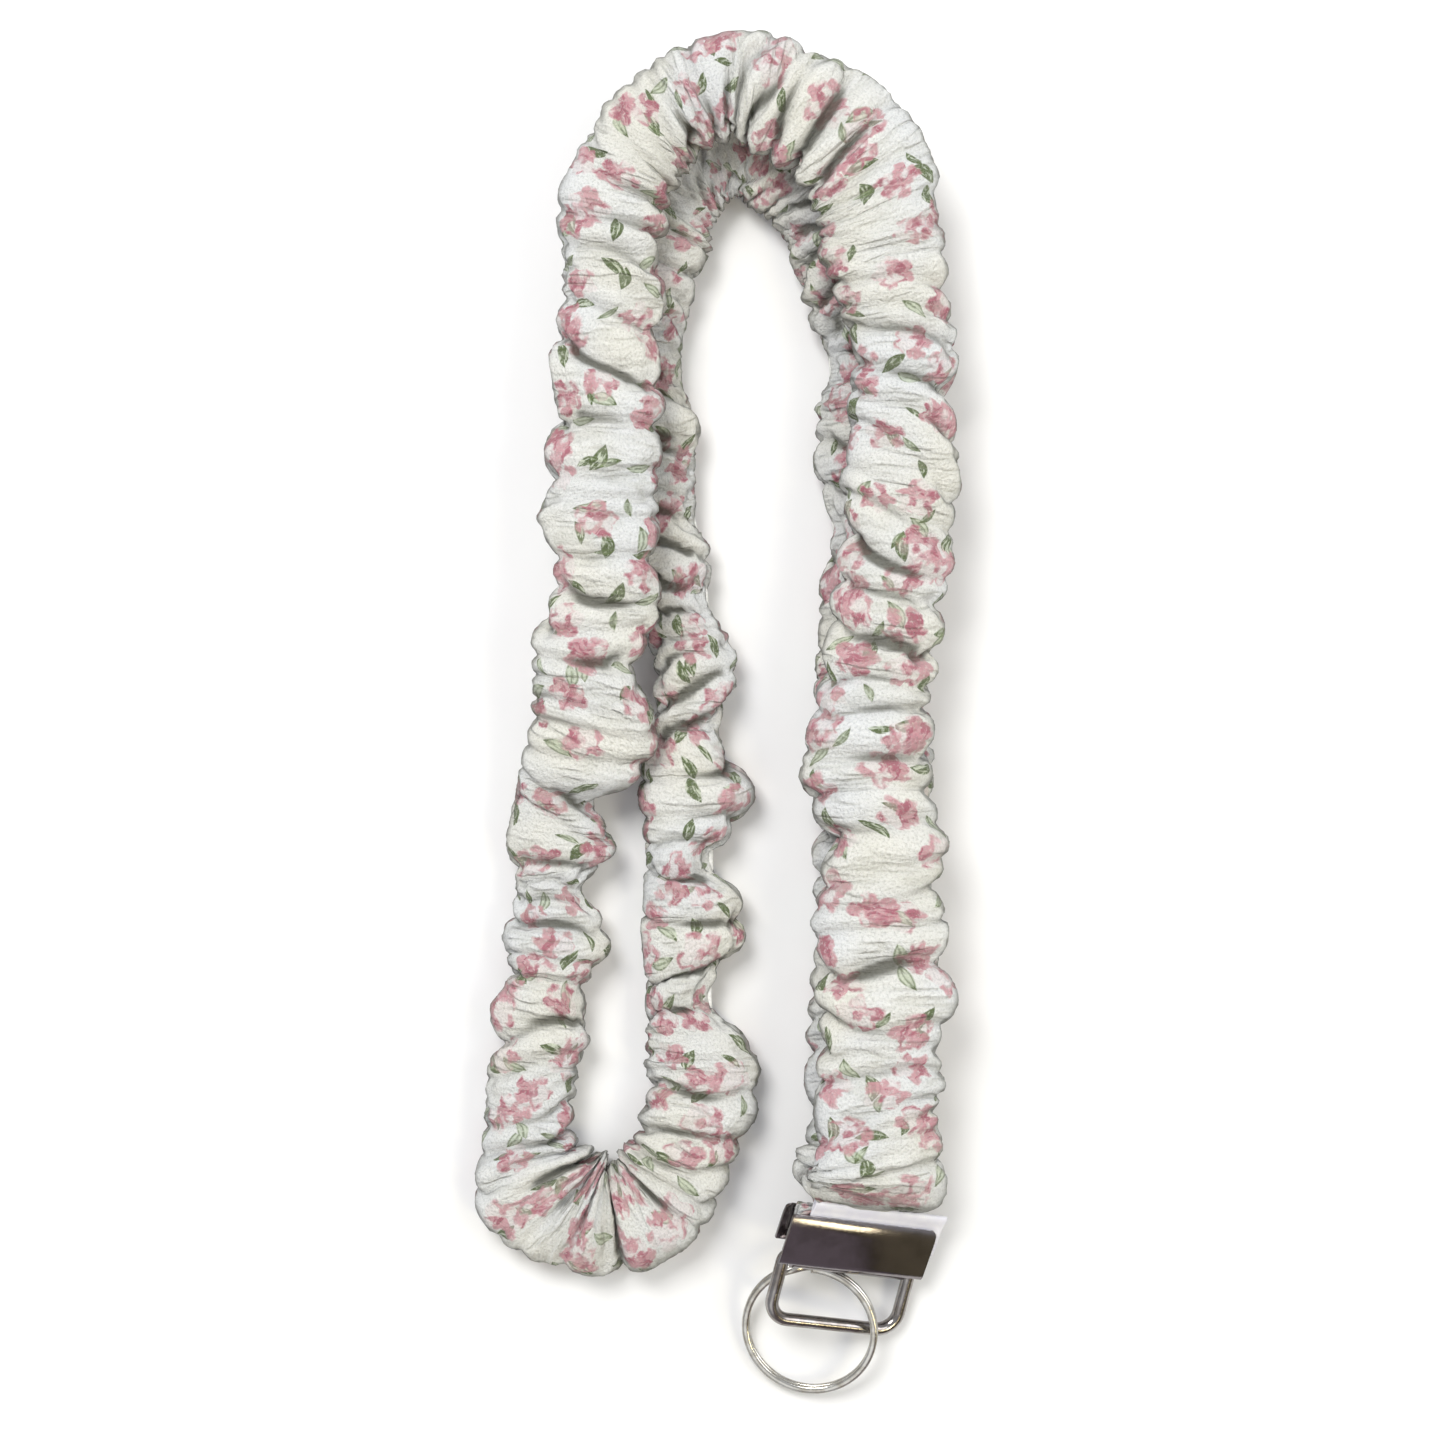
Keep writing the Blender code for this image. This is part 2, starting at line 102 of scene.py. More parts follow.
# Strands of the folded strap: the route points each one starts and ends at, and the axis it runs along
STRANDS = {
    "front": (0, 9, 1),
    "left": (15, 27, 1),
    "middle": (31, 43, 1),
    "turn": (43, 48, 0),
    "rear": (48, 57, 1),
}

# ---- the sleeve's cloth ----

CLOTH_ROUND = 61.0
ROWS = 1420
COLUMNS = 56
GATHER = 1.36
ROLL_LENGTHS = (3.6, 9.2)
SEAM_ALLOWANCE = 1.4
# The seam's two allowances and the doubled edge make three more points in every row
SEAM_COLUMNS = 3
# Rows of points at each end that may follow the clamp
END_ROWS = 61
MOUTH_HALF_WIDTH = 15.3
# At its front end the sleeve fills the mouth from the left
MOUTH_SHIFT = 1.9
PRESSED_HALF_HEIGHT = 0.42
# The widest that the cloth may be in the mouth, and how fast it may widen beyond
CLAMPED_HALF_WIDTH = 14.3
WIDENING = 0.6
# The deepest that a crease between two rolls may go
DEEPEST_DIP = 6.0
HALF_WIDTH = 12.2
HALF_HEIGHT = 5.75

# How far the bulges and pinches reach to one side of the centre line, as (place on the strand, reach).
# The side is 1 to the right of someone walking the strap from its front end, -1 to the left
BULGES = {
    ("front", -1): (
        (-94, 18.4), (-87, 17), (-81, 13.6), (-73, 14.8), (-64, 11), (-56, 14.5), (-48, 11.8), (-41, 15),
        (-33, 12.4), (-25, 11), (-15, 15.3), (-7, 16), (6, 13), (17, 11.6), (31, 12.8), (38, 10.6),
        (47, 12.6), (55, 11.2), (66, 12.4), (74, 10.4), (83, 13.2), (92, 14.6),
    ),
    ("front", 1): (
        (-94, 12.8), (-87, 13), (-81, 11.4), (-73, 15), (-64, 11.4), (-56, 16), (-48, 12.2), (-41, 15),
        (-33, 10.6), (-25, 14.8), (-15, 10.5), (-7, 11.4), (6, 10.8), (17, 14), (24, 11.6), (31, 13.2),
        (40, 11), (47, 12.5), (55, 13.4), (65, 10), (74, 12.8), (82, 10.6), (92, 10.2),
    ),
    ("left", -1): (
        (101, 12), (93, 9), (86, 13.4), (76, 10), (66, 12.5), (59, 10.5), (52, 12.8), (46, 11), (40, 13),
        (33, 10.8), (26, 13.8), (17, 12.5), (11.5, 8.5), (4, 15), (-3, 17.4), (-9, 13.5), (-14, 4.5),
        (-19, 8), (-26, 13), (-30, 9), (-34, 3), (-38, 8), (-44, 12), (-49, 8), (-54, 5), (-58, 9),
        (-62, 11.4), (-66, 9), (-71, 8), (-77, 8.5),
    ),
    ("left", 1): (
        (101, 12), (90, 11), (80, 12.4), (73, 14), (66, 11.2), (60, 12), (52, 13.6), (47, 11), (41, 14.6),
        (34, 10.6), (25, 11.4), (17, 14), (8, 11), (0, 11.8), (-8, 10.6), (-14, 10), (-25, 11.8),
        (-34, 9), (-44, 11.4), (-53, 8.6), (-60, 12), (-67, 9.6), (-74, 10.8),
    ),
    ("middle", 1): (
        (-86, 11), (-80, 12.6), (-72, 13.4), (-65, 10.5), (-60, 5), (-56, 1), (-52, 6), (-47, 11),
        (-41, 13), (-35, 10), (-31, 4), (-27.5, 0.8), (-24, 7), (-19, 11.4), (-13, 12.4), (-7, 10),
        (-2, 4), (2, 7), (9, 10.6), (16, 9.5), (21, 5.5), (25, 2.5), (33, 7.2), (40, 2.8), (47, 5.4),
        (55, 6), (61, 8.8), (69, 3.4), (77, 3.6), (86, 5), (96, 6.6),
    ),
    ("middle", -1): (
        (-86, 10), (-72, 11), (-56, 10.5), (-42, 11.5), (-28, 9.5), (-14, 11.5), (0, 10.5), (6, 9.6),
        (12, 11), (24, 11), (40, 12), (60, 12), (96, 12),
    ),
    ("turn", 1): ((-10, 7), (-4, 6.5), (2, 5.2), (8, 7), (14, 6.6), (20, 6.4)),
    ("rear", 1): (
        (-60, 12.4), (-45, 11), (-29, 12.6), (-12, 11), (7, 12), (21, 9.5), (34, 9), (41, 3.2), (46, 6.5),
        (55, 8.4), (65, 7.8), (72, 2.4), (80, 5), (88, 6.6), (98, 6),
    ),
}


def fold_point(y, z=0.0, x=0.0):
    """A point in the clamp's own frame as world coordinates."""
    return FOLD_CENTRE + ALONG_CLAMP * x + TO_STRAP * y + OUT_OF_PLATE * z


def smooth_share(t):
    t = np.clip(t, 0.0, 1.0)
    return t * t * (3 - 2 * t)


def unit(v):
    return v / np.maximum(np.linalg.norm(v, axis=-1, keepdims=True), 1e-9)


class Path:
    """A smooth line through points, sampled finely, with a frame at every place along it."""

    def __init__(self, points, step=0.25):
        points = [np.array(p, float) for p in points]
        padded = [2 * points[0] - points[1], *points, 2 * points[-1] - points[-2]]
        fine = [points[0][None]]
        t = ((np.arange(40) + 1) / 40)[:, None]
        for i in range(len(points) - 1):
            a, b, c, d = padded[i : i + 4]
            fine.append(
                0.5 * (2 * b + (c - a) * t + (2 * a - 5 * b + 4 * c - d) * t**2
                       + (3 * b - a - 3 * c + d) * t**3)
            )
        knots = [0]
        for piece in fine[1:]:
            knots.append(knots[-1] + len(piece))
        fine = np.concatenate(fine)
        gaps = np.linalg.norm(np.diff(fine, axis=0), axis=1)
        along = np.concatenate([[0.0], np.cumsum(gaps)])
        self.knots = along[knots]
        self.length = along[-1]
        count = int(round(self.length / step)) + 1
        self.at = np.linspace(0, self.length, count)
        self.centre = np.stack([np.interp(self.at, along, fine[:, k]) for k in range(3)], -1)
        reach = 6
        ahead = self.centre[np.minimum(np.arange(count) + reach, count - 1)]
        behind = self.centre[np.maximum(np.arange(count) - reach, 0)]
        self.tangent = unit(ahead - behind)
        # The strap leaves the clamp in the plate's plane and turns flat to the floor over END_TAPER
        from_end = np.minimum(self.at, self.length - self.at)
        turn = smooth_share((from_end - ROUTE_LEAD) / END_TAPER)[:, None]
        up = OUT_OF_PLATE * (1 - turn) + np.array((0.0, 0.0, 1.0)) * turn
        self.across = unit(np.cross(self.tangent, up))
        self.up = unit(np.cross(self.across, self.tangent))
        bend = np.gradient(self.tangent, self.at, axis=0)
        kernel = np.ones(25) / 25
        self.bend = np.convolve((bend * self.across).sum(-1), kernel, mode="same")

    def sample(self, values, s):
        if values.ndim == 1:
            return np.interp(s, self.at, values)
        return np.stack([np.interp(s, self.at, values[:, k]) for k in range(values.shape[1])], -1)

    def world(self, local):
        """(s, across, up) as world coordinates."""
        s = local[..., 0]
        return (
            self.sample(self.centre, s)
            + self.sample(self.across, s) * local[..., 1:2]
            + self.sample(self.up, s) * local[..., 2:3]
        )


def strap_path():
    lead = ((ROUTE_START_Y, 0.35), (11.4, 0.85), (SLEEVE_END_Y, 2.3), (LEAD_OUT_Y, 3.1))
    front = [fold_point(y, z) for y, z in lead]
    rear = [fold_point(y, -z - 0.5 * (y < 12)) for y, z in reversed(lead)]
    return Path([*front, *ROUTE, *rear])


# ---- numbers that vary smoothly ----


def smooth_noise(shape, cells, rng, wrap=False):
    """Smooth noise in about -1..1 over a grid, from a coarse lattice; it wraps on axis 1 if asked."""
    rows, cols = max(2, int(cells[0])), max(1, int(cells[1]))
    lattice = rng.uniform(-1, 1, (rows + 3, cols if wrap else cols + 3))
    x = np.linspace(0, rows, shape[0], endpoint=False)
    y = np.linspace(0, cols, shape[1], endpoint=False)

    def weights(t):
        return (
            (1 - t) ** 3 / 6,
            (3 * t**3 - 6 * t**2 + 4) / 6,
            (-3 * t**3 + 3 * t**2 + 3 * t + 1) / 6,
            t**3 / 6,
        )

    ix, iy = x.astype(int), y.astype(int)
    wx, wy = weights(x - ix), weights(y - iy)
    out = np.zeros(shape)
    for i in range(4):
        for j in range(4):
            columns = (iy + j) % cols if wrap else iy + j
            out += wx[i][:, None] * wy[j][None, :] * lattice[np.ix_(ix + i, columns)]
    return out * 1.6


# ---- the sleeve's gathered cloth, by constraint relaxation ----


def strand_reach(path, strand, side, s):
    """The reach of one side at places s along the path, and how far those places belong to the strand."""
    first, last, axis = STRANDS[strand]
    lo, hi = path.knots[first + 4], path.knots[last + 4]
    places, reach = np.array(sorted(BULGES[strand, side])).T
    here = path.sample(path.centre, s)[:, axis]
    inside = smooth_share((s - lo) / 8 + 0.5) * smooth_share((hi - s) / 8 + 0.5)
    return np.interp(here, places, reach), inside


def envelope(path, s, rng):
    """How far the cloth may stand from the centre line: towards -across, +across, up and down."""
    n = len(s)
    wander = [smooth_noise((n, 1), (path.length / cells, 1), rng)[:, 0] for cells in (13, 12, 15, 17)]
    minus = HALF_WIDTH + 3.0 * wander[0] - 0.5
    plus = HALF_WIDTH + 3.0 * wander[1] - 0.5
    for strand, side in BULGES:
        reach, inside = strand_reach(path, strand, side, s)
        values = plus if side == 1 else minus
        values += (reach + 0.8 * wander[2] - values) * inside
    kernel = np.hanning(9)
    kernel /= kernel.sum()
    plus, minus = (np.convolve(np.pad(v, 4, "edge"), kernel, mode="valid") for v in (plus, minus))
    from_end = np.minimum(s, path.length - s)
    # Pressed flat in the mouth, opening out over the first centimetres
    open_width = smooth_share((from_end - 10) / 16)
    shift = np.where(s < path.length / 2, MOUTH_SHIFT, -MOUTH_SHIFT) * (1 - open_width)
    plus = MOUTH_HALF_WIDTH - shift + (plus - MOUTH_HALF_WIDTH) * open_width
    minus = MOUTH_HALF_WIDTH + shift + (minus - MOUTH_HALF_WIDTH) * open_width
    width = plus + minus
    full = HALF_HEIGHT * (0.82 + 0.18 * smooth_share((width - 12) / 12))
    high = full * (1.06 + 0.2 * wander[2])
    low = full * (1.0 + 0.06 * wander[3])
    opening = smooth_share((from_end - 3.4) / 13)
    high = PRESSED_HALF_HEIGHT + (high - PRESSED_HALF_HEIGHT) * opening
    low = PRESSED_HALF_HEIGHT + (low - PRESSED_HALF_HEIGHT) * opening
    return minus, plus, high, low


def elastic_offset(reach):
    """Where the elastic runs across the strand: aside from the middle where the cloth is pinched."""
    minus, plus, _, _ = reach
    offset = np.clip(0.0, -minus + 5.8, plus - 5.8)
    return np.convolve(np.pad(offset, 15, "edge"), np.ones(31) / 31, mode="valid")


class Neighbours:
    """Keeps the strands that cross over others above them, and those below them under."""

    CELL = 1.0
    CELLS = 330

    def __init__(self, path, s, reach):
        minus, plus, high, low = reach
        self.path = path
        self.upper = path.sample(path.centre, s)[:, 2] > BETWEEN - 4.5
        self.upper &= (s > 40) & (s < path.length * 0.62)
        self.lower = ~self.upper
        self.upper |= s < 120
        self.lower &= ~(s < 120)
        top = np.full((self.CELLS, self.CELLS), -1e3)
        bottom = np.full((self.CELLS, self.CELLS), 1e3)
        centre, across = path.sample(path.centre, s), path.sample(path.across, s)
        for share in np.linspace(-0.98, 0.98, 61):
            p = np.where(share > 0, plus, minus) * share
            rise = (1 - abs(share) ** 2.4) ** (1 / 2.4)
            x, y, z = (centre + across * p[:, None]).T
            i, j = self.cell(x), self.cell(y)
            np.maximum.at(top, (i[self.lower], j[self.lower]), (z + high * rise)[self.lower])
            np.minimum.at(bottom, (i[self.upper], j[self.upper]), (z - low * rise)[self.upper])
        meet = (top > -500) & (bottom < 500) & (bottom < top + 0.6)
        self.split = np.where(meet, (top + bottom) / 2, np.nan)

    def cell(self, v):
        return np.clip((v + self.CELLS / 2) / self.CELL, 0, self.CELLS - 1).astype(int)

    def limits(self, X, low, high):
        """How low and how high every point may lie, measured from the centre line."""
        world = self.path.world(X)
        split = self.split[self.cell(world[..., 0]), self.cell(world[..., 1])]
        middle = self.path.sample(self.path.centre, X[..., 0])[..., 2]
        lowest = np.maximum(np.broadcast_to(-low[:, None] * 1.05, middle.shape), 0.25 - middle)
        highest = np.broadcast_to(high[:, None] * 1.12, middle.shape).copy()
        here = ~np.isnan(split)
        up = here & self.upper[:, None]
        down = here & self.lower[:, None]
        lowest = np.where(up, np.maximum(lowest, split + 0.12 - middle), lowest)
        highest = np.where(down, np.minimum(highest, split - 0.12 - middle), highest)
        return lowest, np.maximum(highest, lowest + 0.3)


def pull(A, B, metric, rest, stretch, compress):
    """Moves paired points towards their rest distance; metric scales the along direction in a bend."""
    d = B - A
    run = d[..., 0] * metric
    length = np.sqrt(run * run + d[..., 1] ** 2 + d[..., 2] ** 2) + 1e-9
    c = (length - rest) / length * 0.5
    c *= np.where(c > 0, stretch, compress)
    move = d * c[..., None]
    move[..., 0] = run * c / metric
    A += move
    B -= move


def hold_between(X, inner, outer, centre, softness):
    """Keeps points out of the inner oval and draws them back to the outer one."""
    q = X[..., 2]
    p = X[..., 1]
    (half_p, half_q), middle = inner, centre[0][:, None]
    r = ((np.abs(p - middle) / half_p) ** 2.5 + (np.abs(q) / half_q) ** 2.5) ** 0.4 + 1e-9
    f = np.where(r < 1, 1 / r, 1.0)
    p[...] = middle + (p - middle) * f
    q *= f
    outer_p, outer_up, outer_down = outer
    middle = centre[1][:, None]
    outer_q = np.where(q > 0, outer_up[:, None], outer_down[:, None])
    r = ((np.abs(p - middle) / outer_p[:, None]) ** 2.3 + (np.abs(q) / outer_q) ** 2.3)
    r = r ** (1 / 2.3) + 1e-9
    f = np.where(r > 1, 1 + (1 / r - 1) * softness, 1.0)
    p[...] = middle + (p - middle) * f
    q *= f


def relax(X, du, dv, path, reach, iterations=18):
    """Lets the cloth find its folds: it keeps its length along and around, resists sharp bending, stays
    in order along the strap and between the elastic inside and the room that it has."""
    n, m, _ = X.shape
    minus, plus, high, low = reach
    diagonal = math.hypot(du, dv)
    s_rest = X[:, 0, 0].copy()
    bend = path.sample(path.bend, s_rest)[:, None]
    neighbours = Neighbours(path, s_rest, reach)
    half = (plus + minus) / 2
    offset = (plus - minus) / 2
    core = elastic_offset(reach)
    from_end = np.minimum(s_rest, path.length - s_rest)
    core_size = (5.0, np.minimum(1.7, 0.25 + 0.1 * from_end)[:, None])
    first, last = X[0].copy(), X[-1].copy()
    # The clamp holds the ends flat and no wider than its mouth
    beyond_mouth = np.maximum(from_end - 2.5, 0)[:, None]
    flat = 0.55 + 0.55 * beyond_mouth
    wide = CLAMPED_HALF_WIDTH + WIDENING * beyond_mouth
    for step in range(iterations):
        if step % 10 == 0:
            metric = np.clip(1 - bend * X[..., 1], 0.3, 1.9)
            lowest, highest = neighbours.limits(X, low, high)
        for odd in (0, 1):
            A, B = X[odd : n - 1 : 2], X[odd + 1 : n : 2]
            pull(A, B, metric[odd : n - 1 : 2], du, 0.6, 0.5)
        for odd in (0, 1):
            ring = np.roll(X, -odd, 1)
            pull(ring[:, ::2], ring[:, 1::2], np.roll(metric, -odd, 1)[:, ::2], dv, 1.0, 0.04)
            X[...] = np.roll(ring, odd, 1)
        for odd in (0, 1):
            A, B = X[odd : n - 1 : 2], X[odd + 1 : n : 2]
            g = metric[odd : n - 1 : 2]
            pull(A[:, :-1], B[:, 1:], g[:, :-1], diagonal, 0.15, 0.15)
            pull(A[:, 1:], B[:, :-1], g[:, 1:], diagonal, 0.15, 0.15)
        for odd in (0, 1):
            rows = np.arange(n - 2)
            rows = rows[(rows // 2) % 2 == odd]
            A, B = X[rows], X[rows + 2]
            pull(A, B, metric[rows], 2 * du * 0.9, 0.0, 0.16)
            X[rows], X[rows + 2] = A, B
        for odd in (0, 1):
            columns = np.arange(m - 2)
            columns = columns[(columns // 2) % 2 == odd]
            A, B = X[:, columns], X[:, columns + 2]
            pull(A, B, metric[:, columns], 2 * dv * 0.97, 0.0, 0.15)
            X[:, columns], X[:, columns + 2] = A, B
        for odd in (0, 1):
            A, B = X[odd : n - 1 : 2, :, 0], X[odd + 1 : n : 2, :, 0]
            push = np.maximum(0.16 - (B - A), 0) * 0.5
            A -= push
            B += push
        hold_between(X, core_size, (half * 1.04, high * 1.05, low * 1.05), (core, offset), 0.35)
        np.clip(X[..., 2], lowest, highest, out=X[..., 2])
        np.clip(X[..., 2], -flat, flat, out=X[..., 2])
        np.clip(X[..., 1], -wide, wide, out=X[..., 1])
        X[0], X[-1] = first, last


def gathered_cloth(path, seed=11):
    """The sleeve's cloth as a grid of points: rows along the strap, columns round it."""
    rng = np.random.default_rng(seed)
    # More cloth gathers at the pinches than at the bulges
    s_even = np.linspace(0, path.length, ROWS)
    minus, plus, _, _ = envelope(path, s_even, np.random.default_rng(seed + 5))
    density = 1.0 + 0.25 * smooth_share((22 - (plus + minus)) / 10)
    density += 10.0 * np.abs(path.sample(path.bend, s_even))
    laid = np.concatenate([[0.0], np.cumsum((density[1:] + density[:-1]) / 2)])
    s_row = np.interp(np.linspace(0, laid[-1], ROWS), laid, s_even)
    reach = envelope(path, s_row, np.random.default_rng(seed + 5))
    minus, plus, high, low = reach
    du = GATHER * path.length / (ROWS - 1)
    dv = CLOTH_ROUND / COLUMNS
    shape = (ROWS, COLUMNS)
    s = s_row[:, None] * np.ones(shape)
    angle = np.linspace(-np.pi / 2, 1.5 * np.pi, COLUMNS, endpoint=False)[None, :] * np.ones(shape)

    # Rounded rolls lie across the strap, with a sharp crease between each and the next
    creases = np.cumsum(rng.uniform(*ROLL_LENGTHS, int(path.length / np.mean(ROLL_LENGTHS) * 1.4)))
    creases = np.interp(creases, laid * path.length / laid[-1], s_even, right=2 * path.length)
    creases = np.concatenate([[-ROLL_LENGTHS[1]], creases[creases < path.length - 2]])
    creases = np.concatenate([creases, path.length + np.cumsum([3.0, 8.0, 8.0])])
    from_end = np.minimum(s, path.length - s)
    opened = smooth_share((from_end - 3) / 16)
    warp = 4.2 * smooth_noise(shape, (path.length / 11, 3), rng, True)
    warp += 2.1 * smooth_noise(shape, (path.length / 4.5, 8), rng, True)
    warp += 5.5 * smooth_noise((ROWS, 1), (path.length / 19, 1), rng) * np.cos(angle)
    warp *= opened
    moved = s + warp
    roll = np.clip(np.searchsorted(creases, moved) - 1, 0, len(creases) - 2)
    start, roll_length = creases[roll], (creases[1:] - creases[:-1])[roll]
    turn = np.pi * np.clip((moved - start) / roll_length, 0, 1)
    fade = smooth_noise((len(creases) + 1, COLUMNS), (len(creases) * 0.8, 4), rng, True)
    column = np.arange(COLUMNS)[None, :] * np.ones(shape, int)
    fade = np.clip(0.85 + 0.85 * fade, 0.2, 1.15)
    share = (1 - np.cos(turn)) / 2
    dip = fade[roll, column] * (1 - share) + fade[roll + 1, column] * share
    dip *= np.minimum(0.95 * roll_length, DEEPEST_DIP) * opened
    fold = dip * (1 - np.sin(turn) ** 0.8)
    # Finer wrinkles run along some of the rolls
    fine = (s + 0.7 * warp + 1.3 * smooth_noise(shape, (path.length / 5, 6), rng, True)) / 2.6
    where = smooth_share(0.5 + 1.3 * smooth_noise(shape, (path.length / 9, 4), rng, True))
    fold += 1.6 * opened * where * (1 - np.abs(np.sin(np.pi * fine)))
    swell = smooth_noise(shape, (path.length / 12, 4), rng, True)
    power = 2 / 2.4
    cosine, sine = np.cos(angle), np.sin(angle)
    X = np.empty((*shape, 3))
    X[..., 0] = start + roll_length * share - warp
    X[..., 0] = np.clip(np.maximum.accumulate(X[..., 0], 0), 0, path.length)
    half, offset = ((plus + minus) / 2)[:, None], ((plus - minus) / 2)[:, None]
    tall = np.where(sine > 0, high[:, None], low[:, None])
    rounder = 1 + 0.07 * swell * opened
    X[..., 1] = (half - np.minimum(fold, half - 5.5)) * rounder
    X[..., 1] = offset + X[..., 1] * np.sign(cosine) * np.abs(cosine) ** power
    X[..., 2] = (tall - np.minimum(fold, np.maximum(tall - 2.0, 0))) * rounder
    X[..., 2] *= np.sign(sine) * np.abs(sine) ** power
    wide = CLAMPED_HALF_WIDTH + from_end * WIDENING
    X[..., 1] = np.clip(X[..., 1], -wide, wide)
    X[0, :, 0], X[-1, :, 0] = 0, path.length
    X += rng.normal(0, 0.03, X.shape)
    relax(X, du, dv, path, reach)
    soften(X[2:-2])
    # How deep each point lies between the folds, for the painted crease shade; it fades out towards the
    # mouth
    depth = fold_depth(X, reach) * smooth_share((from_end - 9) / 9)
    world = path.world(X)
    world[..., 2] = np.maximum(world[..., 2], 0.12)
    # Short pile makes the surface slightly rough
    normal = unit(np.cross(np.gradient(world, axis=0), np.roll(world, -1, 1) - np.roll(world, 1, 1)))
    rough = np.clip(rng.normal(0, 0.1, shape), -0.25, 0.25) * smooth_share((from_end - 2) / 4)
    world += normal * rough[..., None]
    world[..., 2] = np.maximum(world[..., 2], 0.08)
    return world, depth, (du, dv), (s_row, elastic_offset(reach))


def soften(X):
    """Rounds the folds off, as thick pile does."""
    X[1:-1] = X[1:-1] * 0.5 + (X[:-2] + X[2:]) * 0.25
    X[...] = X * 0.5 + (np.roll(X, 1, 1) + np.roll(X, -1, 1)) * 0.25


def fold_depth(X, reach):
    """0 on the crests of the folds to 1 deep between them; the velour's material darkens its colour by it,
    as painted shade in the creases.
    """
    minus, plus, high, low = (v[:, None] for v in reach)
    p, q = X[..., 1] - (plus - minus) / 2, X[..., 2]
    r = (np.abs(p) / ((plus + minus) / 2)) ** 2.3 + (np.abs(q) / np.where(q > 0, high, low)) ** 2.3
    r = r ** (1 / 2.3)
    around = np.stack([np.roll(r, k, 0) for k in range(-7, 8)]).max(0)
    return np.clip((around - r) / 0.37, 0, 1)


# ---- meshes ----


def link(obj):
    bpy.context.scene.collection.objects.link(obj)
    return obj


def grid_mesh(name, points, cloth, depth=None):
    """A sheet from a grid of points in mm; cloth holds each point's place on the flat cloth in mm."""
    n, m, _ = points.shape
    mesh = bpy.data.meshes.new(name)
    i, j = np.meshgrid(np.arange(n - 1), np.arange(m - 1), indexing="ij")
    a = (i * m + j).ravel()
    quads = np.stack([a, a + m, a + m + 1, a + 1], -1)
    mesh.vertices.add(n * m)
    mesh.vertices.foreach_set("co", (points.reshape(-1, 3) * MM).astype(np.float32).ravel())
    mesh.loops.add(quads.size)
    mesh.loops.foreach_set("vertex_index", quads.astype(np.int32).ravel())
    mesh.polygons.add(len(quads))
    mesh.polygons.foreach_set("loop_start", np.arange(0, quads.size, 4, dtype=np.int32))
    layer = mesh.uv_layers.new(name="cloth")
    layer.data.foreach_set("uv", (cloth.reshape(-1, 2)[quads.ravel()] / 100).astype(np.float32).ravel())
    if depth is not None:
        attribute = mesh.attributes.new("fold_depth", "FLOAT", "POINT")
        attribute.data.foreach_set("value", depth.astype(np.float32).ravel())
    mesh.update()
    mesh.validate()
    mesh.shade_smooth()
    return mesh


def build_sleeve(path):
    world, depth, (du, dv), elastic = gathered_cloth(path)
    n, m, _ = world.shape
    # The tube closes at a seam on its underside, whose allowance turns inwards
    centre = world.mean(1)
    edge = world[:, 0]
    room = 0.35 * np.linalg.norm(centre - edge, axis=1)
    tucked = edge + unit(centre - edge) * np.minimum(SEAM_ALLOWANCE, room)[:, None]
    side = unit(world[:, 1] - world[:, -1]) * 0.08
    points = np.concatenate(
        [(tucked + side)[:, None], world, edge[:, None] - side[:, None] * 0.2, (tucked - side)[:, None]], 1
    )
    depths = np.concatenate([depth[:, :1], depth, depth[:, :1], depth[:, :1]], 1)
    u = np.arange(n) * du
    v = np.concatenate([[-SEAM_ALLOWANCE], np.arange(m + 1) * dv, [m * dv + SEAM_ALLOWANCE]])
    cloth = np.stack(np.meshgrid(u, v, indexing="ij"), -1)
    obj = link(bpy.data.objects.new("sleeve", grid_mesh("sleeve", points, cloth, depths)))
    flat = ((m * dv + 2 * SEAM_ALLOWANCE) * MM, (n - 1) * du * MM)
    return obj, flat, elastic


def object_from(bm, name):
    """An object with smooth shading from a bmesh, its faces turned outwards."""
    bmesh.ops.recalc_face_normals(bm, faces=bm.faces)
    mesh = bpy.data.meshes.new(name)
    bm.to_mesh(mesh)
    bm.free()
    mesh.shade_smooth()
    return link(bpy.data.objects.new(name, mesh))


def skin(bm, points, closed=False):
    """Faces between rings of points in mm; the ends are capped unless the last ring meets the first."""
    rings = [[bm.verts.new(p * MM) for p in ring] for ring in points]
    pairs = list(zip(rings, rings[1:]))
    if closed:
        pairs.append((rings[-1], rings[0]))
    for first, second in pairs:
        for k in range(len(first)):
            following = (k + 1) % len(first)
            bm.faces.new((first[k], first[following], second[following], second[k]))
    if not closed:
        bm.faces.new(rings[0])
        bm.faces.new(rings[-1])


def swept(name, line, across, up, outline, closed=False):
    """A solid swept along a line, its section's axes given at each point; outline is (across, up) pairs."""
    outline = np.array(outline)
    points = line[:, None] + across[:, None] * outline[None, :, :1] + up[:, None] * outline[None, :, 1:]
    bm = bmesh.new()
    skin(bm, points, closed)
    return object_from(bm, name)


def build_elastic(path, places, offsets):
    """Braided elastic: lengthwise cords on both faces."""
    half_width, half_thickness, cord_height, cord_pitch = 4.8, 0.42, 0.1, 1.6
    s = np.linspace(ROUTE_LEAD + 1, path.length - ROUTE_LEAD - 1, 420)
    top = []
    for x in np.linspace(-half_width, half_width, 25):
        cord = abs(math.sin(math.pi * (x + half_width) / cord_pitch))
        top.append((x, half_thickness + cord_height * cord))
    outline = top + [(x, -z) for x, z in reversed(top)]
    across = path.sample(path.across, s)
    centre = path.sample(path.centre, s) + across * np.interp(s, places, offsets)[:, None]
    return swept("elastic", centre, across, path.sample(path.up, s), outline[::-1])


# ---- the hardware ----


def clamp_matrix():
    turn = CLAMP_TURN.to_4x4()
    turn.translation = Vector(FOLD_CENTRE * MM)
    return turn


